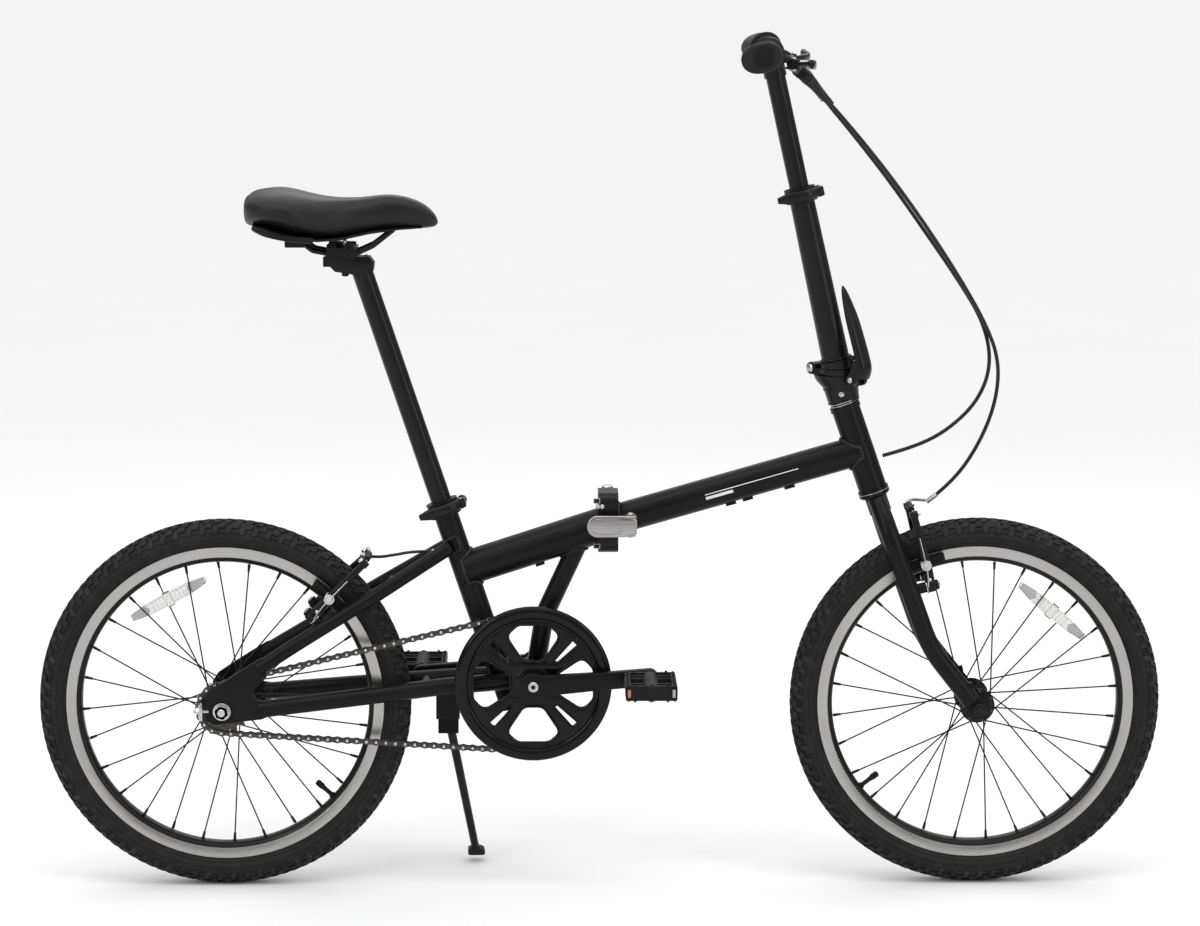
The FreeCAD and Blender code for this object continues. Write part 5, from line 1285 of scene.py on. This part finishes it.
def make_brake_arm(place, side, word, lean, axle, outward):
    turn = pivot(f"{place}_arm_{word}_close")
    up = Vector((sin(radians(lean)), 0, cos(radians(lean))))
    out = Vector((up.z, 0, -up.x)) * outward
    inward = Vector((0, -side, 0))
    shape = Shape()
    shape.stub(turn, out, -6, 6.4, 8.0, BLACK_ALLOY, edge=0.8)
    spine = [turn + up * (u * 0.001) + inward * (i * 0.001) + out * (o * 0.001)
             for u, i, o in ((2, 0, 0), (22, -1.2, 0.5), (45, -1.6, 0.8), (68, 0.5, 0.6), (86, 2.6, 0.2),
                             (97, 3.0, 0))]
    add_limb(shape, spine, out, lambda t: (mix(6.6, 4.4, t), mix(5.4, 4.2, t)), BLACK_ALLOY, sides=16,
             power=0.7)
    arm_foot_r = (beside(turn, 0) - beside(axle, 0)).length * 1000
    level = turn + up * ((PAD_R - arm_foot_r) * 0.001)
    radial = Vector((level.x - axle.x, 0, level.z - axle.z)).normalized()
    along = Vector((-radial.z, 0, radial.x))
    foot = Vector((axle.x, 0, axle.z)) + radial * (PAD_R * 0.001)
    for k in range(9):
        angle = (k - 4) * 6.0 / PAD_R
        turned = radial * cos(angle) + along * sin(angle)
        tangent = along * cos(angle) - radial * sin(angle)
        at = Vector((axle.x, 0, axle.z)) + turned * (PAD_R * 0.001) + Vector((0, side * 0.0197, 0))
        height = 9.2 - 0.25 * abs(k - 4)
        shape.block(at, (5.6, 7.4, height), GRIP, (tangent, LEFT, turned), edge=0.7)
    shape.block(foot + Vector((0, side * 0.0226, 0)), (50.0, 2.2, 6.0), PLASTIC, (along, LEFT, radial),
                edge=0.8)
    shape.stub(foot, LEFT * side, 24, 51, 3.0, STEEL, steps=20)
    for reach, r in ((26.2, 6.4), (29.0, 5.4), (31.8, 6.6), (46.2, 6.8)):
        shape.lathe([(3.0, 0), (r, 0), (r, 1.6), (r - 0.8, 2.2), (3.0, 2.2)], beside(foot, side * reach),
                    LEFT * side, STEEL, steps=32, closed=True)
    shape.stub(foot, LEFT * side, 48.6, 50.8, 5.2, STEEL, steps=6)
    shape.lathe([(0, 12.2), (3.2, 12.0), (4.6, 11.0), (4.6, 6.6), (0, 6.6)], turn, out, STEEL, steps=32)
    shape.lathe([(4.8, -6.2), (8.6, -6.2), (8.6, -5.0), (4.8, -5.0)], turn, out, STEEL, steps=32, closed=True)
    spring = [turn - out * 0.0040 + Vector((0, side * 0.0072, 0)),
              turn + up * 0.018 + Vector((0, side * 0.0085, 0)),
              turn + up * 0.045 + Vector((0, side * 0.0080, 0)),
              turn + up * 0.066 + Vector((0, side * 0.0045, 0))]
    shape.tube(spring, 0.9, STEEL)
    screw = turn + up * 0.010 + Vector((0, side * 0.005, 0))
    shape.stub(screw, LEFT * side, 0, 5.2, 2.4, STEEL, steps=16)
    top = spine[-1]
    shape.stub(top, out, -5.5, 5.5, 4.6, BLACK_ALLOY, edge=0.8)
    shape.stub(top, out, 5, 8.5, 3.6, STEEL, steps=6)
    if word == "right":
        wire = top + up * 0.004
        shape.tube([wire + inward * 0.021, wire, wire - up * 0.006 - inward * 0.0005,
                    wire - up * 0.020 - inward * 0.003],
                   0.8, STEEL)
    shape.finish(f"{place}_brake_arm_{word}_detailed", f"{place}_arm_{word}", f"{place}_brake_arm_{word}")
    return spine[-1], up, out


def make_brake(place, lean, axle, outward, cable_end, cable_heading):
    tops = {}
    for side, word in ((-1, "right"), (1, "left")):
        tops[word], up, out = make_brake_arm(place, side, word, lean, axle, outward)
    noodle = Shape()
    entry = cable_end + cable_heading * 0.004
    left, right = tops["left"] + up * 0.004, tops["right"] + up * 0.004
    bend = left + LEFT * 0.010 + up * 0.002 + out * 0.004
    line = smooth_points([entry, entry.lerp(bend, 0.5) + LEFT * 0.004, bend, left, left.lerp(right, 0.25)])
    noodle.loft(sweep_rings(line, lambda i: 2.3, sides=14), STEEL)
    noodle.stub(entry, cable_heading, -14, 3, 3.3, STEEL, steps=20)
    boot = smooth_points([left.lerp(right, 0.24), left.lerp(right, 0.5) + up * 0.001, left.lerp(right, 0.76)])
    noodle.loft(sweep_rings(boot, lambda i, n=len(boot): 4.6 - 1.4 * i / n + (0.5 if i % 2 else 0.0),
                            sides=16),
                PLASTIC)
    noodle.finish(f"{place}_brake_noodle_and_boot", f"{place}_arm_left")


def make_brakes():
    front_heading = (CABLES["right"][-1] - CABLES["right"][-2]).normalized()
    rear_heading = (LOWER_CABLE[-1] - LOWER_CABLE[-2]).normalized()
    make_brake("front", -14.0, FRONT_AXLE, 1, CABLES["right"][-1], front_heading)
    make_brake("rear", 45.0, REAR_AXLE, -1, LOWER_CABLE[-1], rear_heading)


# ---- axle hardware, kickstand ------------------------------------------------------------------
def make_axle_hardware():
    front = Shape()
    for side in (-1, 1):
        base = FRONT_AXLE + LEFT * (side * 0.0558)
        front.lathe([(5.1, 0), (11.0, 0), (11.0, 1.4), (5.1, 1.4)], base, LEFT * side, BLACK_ALLOY, steps=40,
                    closed=True)
        front.stub(base, LEFT * side, 1.4, 7.8, 9.4, BLACK_ALLOY, steps=6)
        front.stub(base, LEFT * side, 7.8, 10.4, 4.8, BLACK_ALLOY)
    front.finish("front_axle_nuts", "fork")
    rear = Shape()
    for side in (-1, 1):
        base = REAR_AXLE + LEFT * (side * 0.0612)
        rear.lathe([(5.1, 0), (11.6, 0), (11.6, 1.5), (5.1, 1.5)], base, LEFT * side, STEEL, steps=48,
                   closed=True)
        rear.stub(base, LEFT * side, 1.5, 7.8, 9.8, STEEL, steps=6)
        rear.stub(base, LEFT * side, 7.8, 10.2, 5.0, STEEL)
        plate_at = mm(-523.0, side * 59.0, 245.6)
        rear.block(plate_at, (3.4, 13.0, 23.0), STEEL, edge=0.8)
        rear.stub(plate_at, X, -10.5, 10, 2.5, STEEL, steps=20)
        rear.stub(plate_at, X, -7.5, -3, 4.6, STEEL, steps=6)
        rear.torus(REAR_AXLE + LEFT * (side * 0.0612), LEFT, 15.5, 0.7, PAINT)
    rear.finish("rear_axle_nuts_and_tensioners", "rear_frame")


def make_kickstand():
    turn = pivot("kickstand_fold")
    foot = mm(-168.0, 104.0, 12.0)
    shape = Shape()
    heading = (foot - turn).normalized()
    line = smooth_points([turn + heading * 0.004, turn.lerp(foot, 0.35), turn.lerp(foot, 0.7), foot])
    shape.loft(sweep_rings(line, lambda i, n=len(line): 6.0 - 0.8 * i / n, sides=20), BLACK_ALLOY)
    shape.stub(turn, LEFT, -6.2, 6.8, 9.0, BLACK_ALLOY, edge=1.0)
    shape.lathe([(0, 10.4), (3.4, 10.2), (4.8, 9.2), (4.8, 6.6), (0, 6.6)], turn, LEFT, STEEL, steps=32)
    rings = []
    for z, grow in ((20.0, 0.55), (17.0, 0.95), (12.0, 1.0), (9.6, 1.0), (9.0, 0.93)):
        slide = (z - 12.0) * -0.10
        outline = rounded([(-11.5, -8.0), (11.5, -8.0), (11.5, 14.0), (-11.5, 14.0)], 5.0, steps=5)
        rings.append([mm(-168.0 + x * grow + slide, 104.0 + 3.0 + (y - 3.0) * grow, z) for x, y in outline])
    shape.loft(rings, GRIP)
    shape.finish("kickstand_leg_and_rubber_foot", "kickstand", "kickstand_leg")
    spring = Shape()
    top = mm(-202.0, 14.0, 236.0)
    bottom = turn + mm(4.0, -8.0, -12.0)
    run = bottom - top
    coil = []
    u = run.orthogonal().normalized()
    w = run.normalized().cross(u)
    for k in range(12 * 7 + 1):
        t = k / (12 * 7)
        a = 2 * pi * k / 12
        coil.append(top + run * t + (u * cos(a) + w * sin(a)) * 0.0034)
    spring.loft(sweep_rings(coil, lambda i: 0.8, sides=8), DARK_STEEL)
    spring.finish("kickstand_spring", "rear_frame")


# ---- saddle --------------------------------------------------------------------------------------
SADDLE = (                       # x, half width, top, edge where the side turns under, underside
    (-461.0, 44.0, 911.0, 890.0, 882.0),
    (-459.0, 62.0, 919.0, 888.0, 879.0),
    (-451.0, 78.0, 923.0, 886.0, 878.0),
    (-434.0, 89.0, 924.0, 885.0, 878.5),
    (-415.0, 93.0, 924.5, 880.0, 873.5),
    (-395.0, 88.0, 921.0, 873.0, 867.0),
    (-370.0, 72.0, 914.5, 868.0, 863.0),
    (-345.0, 53.0, 911.5, 868.5, 863.0),
    (-320.0, 39.5, 911.5, 872.0, 866.0),
    (-298.0, 31.5, 913.5, 876.5, 871.0),
    (-270.0, 25.0, 916.5, 880.5, 874.0),
    (-245.0, 22.5, 913.0, 880.5, 874.5),
    (-228.0, 20.0, 905.5, 880.0, 875.0),
    (-217.0, 15.5, 896.0, 879.5, 876.0),
    (-210.5, 8.0, 885.0, 879.5, 877.0),
)
SADDLE_SHELL = (                 # x, half width, top and underside of the moulded base
    (-448.0, 60.0, 883.0, 878.0),
    (-432.0, 76.0, 881.0, 871.0),
    (-412.0, 80.0, 875.0, 864.0),
    (-390.0, 74.0, 867.0, 860.0),
    (-365.0, 59.0, 864.0, 858.5),
    (-338.0, 42.0, 864.5, 859.0),
    (-300.0, 26.0, 871.5, 866.5),
    (-262.0, 19.0, 875.5, 871.5),
    (-232.0, 14.0, 877.0, 873.5),
)


def saddle_ring(x, half, top, edge, under, sides=36):
    """One section of the saddle: a crowned top, sides that roll under, and a flat belly."""
    ring = []
    middle = (edge + (top - edge) * 0.45)
    for t in turns(sides):
        c, s = cos(t), sin(t)
        y = half * copysign(abs(c) ** 0.78, c)
        if s >= 0:
            z = middle + (top - middle) * abs(s) ** 0.85
        else:
            z = middle - (middle - under) * abs(s) ** 0.62
            y *= 1.0 - 0.16 * abs(s)
        groove = 3.0 * exp(-(y / 9.0) ** 2) if s > 0 and x < -300 else 0.0
        ring.append(mm(x, y, z - groove))
    return ring


def puff(piece, cap):
    """Cloth simulation that swells the pad under its cover, held to at most cap millimetres."""
    remesh = piece.modifiers.new("even", "REMESH")
    remesh.mode = "VOXEL"
    remesh.voxel_size = 0.0045
    apply_modifiers(piece)
    rest = [v.co.copy() for v in piece.data.vertices]
    cloth = piece.modifiers.new("cover", "CLOTH")
    cloth.settings.use_pressure = True
    cloth.settings.uniform_pressure_force = 3.0
    cloth.settings.effector_weights.gravity = 0.0
    cloth.settings.quality = 5
    cloth.settings.tension_stiffness = 40
    cloth.settings.bending_stiffness = 4.0
    scene = bpy.context.scene
    for step in range(1, 15):
        scene.frame_set(step)
    apply_modifiers(piece)
    for vert, start in zip(piece.data.vertices, rest):
        move = vert.co - start
        if move.length > cap * 0.001:
            vert.co = start + move.normalized() * (cap * 0.001)
    scene.frame_set(1)


def apply_modifiers(piece):
    depsgraph = bpy.context.evaluated_depsgraph_get()
    mesh = bpy.data.meshes.new_from_object(piece.evaluated_get(depsgraph))
    old = piece.data
    piece.modifiers.clear()
    piece.data = mesh
    bpy.data.meshes.remove(old)


def make_saddle():
    shape = Shape()
    shape.loft([saddle_ring(*station) for station in SADDLE], SKIN)
    cover = shape.finish("saddle_cover", None)
    smooth = cover.modifiers.new("round", "SUBSURF")
    smooth.levels = 2
    apply_modifiers(cover)
    puff(cover, 2.0)
    soften = cover.modifiers.new("soften", "SMOOTH")
    soften.factor = 0.5
    soften.iterations = 4
    apply_modifiers(cover)
    cover.data.materials.clear()
    cover.data.materials.append(SKIN)
    fine = cover.modifiers.new("fine", "SUBSURF")
    fine.levels = 1
    apply_modifiers(cover)
    cover.data.shade_smooth()
    creases = []
    for side in (-1, 1):
        guide = [mm(-446, side * 76, 912), mm(-436, side * 86, 908), mm(-424, side * 92, 903),
                 mm(-400, side * 92, 893), mm(-384, side * 84, 880), mm(-378, side * 78, 871)]
        touched = [cover.closest_point_on_mesh(point) for point in smooth_points(guide, samples=4)]
        creases.append([at - normal * 0.0008 for _, at, normal, _ in touched])
    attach(cover, "seat")
    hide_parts("saddle_pad")

    shell = Shape()
    rings = []
    for x, half, top, under in SADDLE_SHELL:
        middle, rise = (top + under) / 2, (top - under) / 2
        rings.append([mm(x, half * cos(t), middle + rise * copysign(abs(sin(t)) ** 0.5, sin(t)))
                      for t in turns(32)])
    shell.loft(rings, PLASTIC)
    for side in (-1, 1):
        bumper = [mm(-446, side * 52, 877), mm(-434, side * 70, 872), mm(-414, side * 78, 868),
                  mm(-392, side * 73, 864), mm(-372, side * 62, 862)]
        shell.tube(bumper, 4.2, PLASTIC)
        shell.block(mm(-396.0, side * 22.0, 856.0), (27.0, 13.0, 12.0), PLASTIC, edge=2.0)
    shell.finish("saddle_moulded_base", "seat", "saddle_base")

    trim = Shape()
    for crease in creases:
        trim.tube(crease, 1.8, SKIN)
    for side in (-1, 1):
        screw = mm(-330.0, side * 34.0, 846.0)
        trim.stub(screw, LEFT * side, -2, 4.5, 4.6, BLACK_ALLOY, steps=6)
        for x in (-349.0, -326.0):
            trim.block(mm(x, side * 22.0, 846.0), (13.0, 14.0, 17.0), BLACK_ALLOY, edge=1.8)
        bolt = mm(-333.0, side * 6.0, 811.0)
        trim.stub(bolt, UP, 0, 47, 2.8, STEEL, steps=16)
        trim.stub(bolt, UP, 0.5, 5, 4.8, BLACK_ALLOY, steps=6)
    cradle = rounded([(-361.0, 837.5), (-357.0, 829.0), (-346.0, 817.5), (-318.0, 813.0), (-296.0, 817.0),
                      (-294.5, 829.0), (-301.0, 837.5)], 3.0)
    trim.plate([[(x, z) for x, z in cradle]], mm(0, 0, 0), X, UP, 27.6, BLACK_ALLOY, edge=1.6)
    trim.torus(seat_point(822.0), SEAT, 13.4, 0.8, BLACK_ALLOY)
    trim.finish("saddle_clamp_cradle_and_creases", "seat")


make_camera()
make_lights()
make_floor()
make_wheels()
make_drive()
make_frame()
make_pinstripes()
make_frame_hinge()
make_stem()
make_quick_release("handlepost", "post_clamp", "handlepost_clamp_lever", "stem_post", "post_clamp_turn",
                   post_point(216.0), POST, 20.5)
make_quick_release("seat_post", "seat_clamp_qr", "seat_clamp_lever", "rear_frame", "seat_clamp_turn",
                   seat_point(506.0), SEAT, 21.0)
make_grips()
make_levers()
make_cables()
make_brakes()
make_axle_hardware()
make_kickstand()
make_saddle()
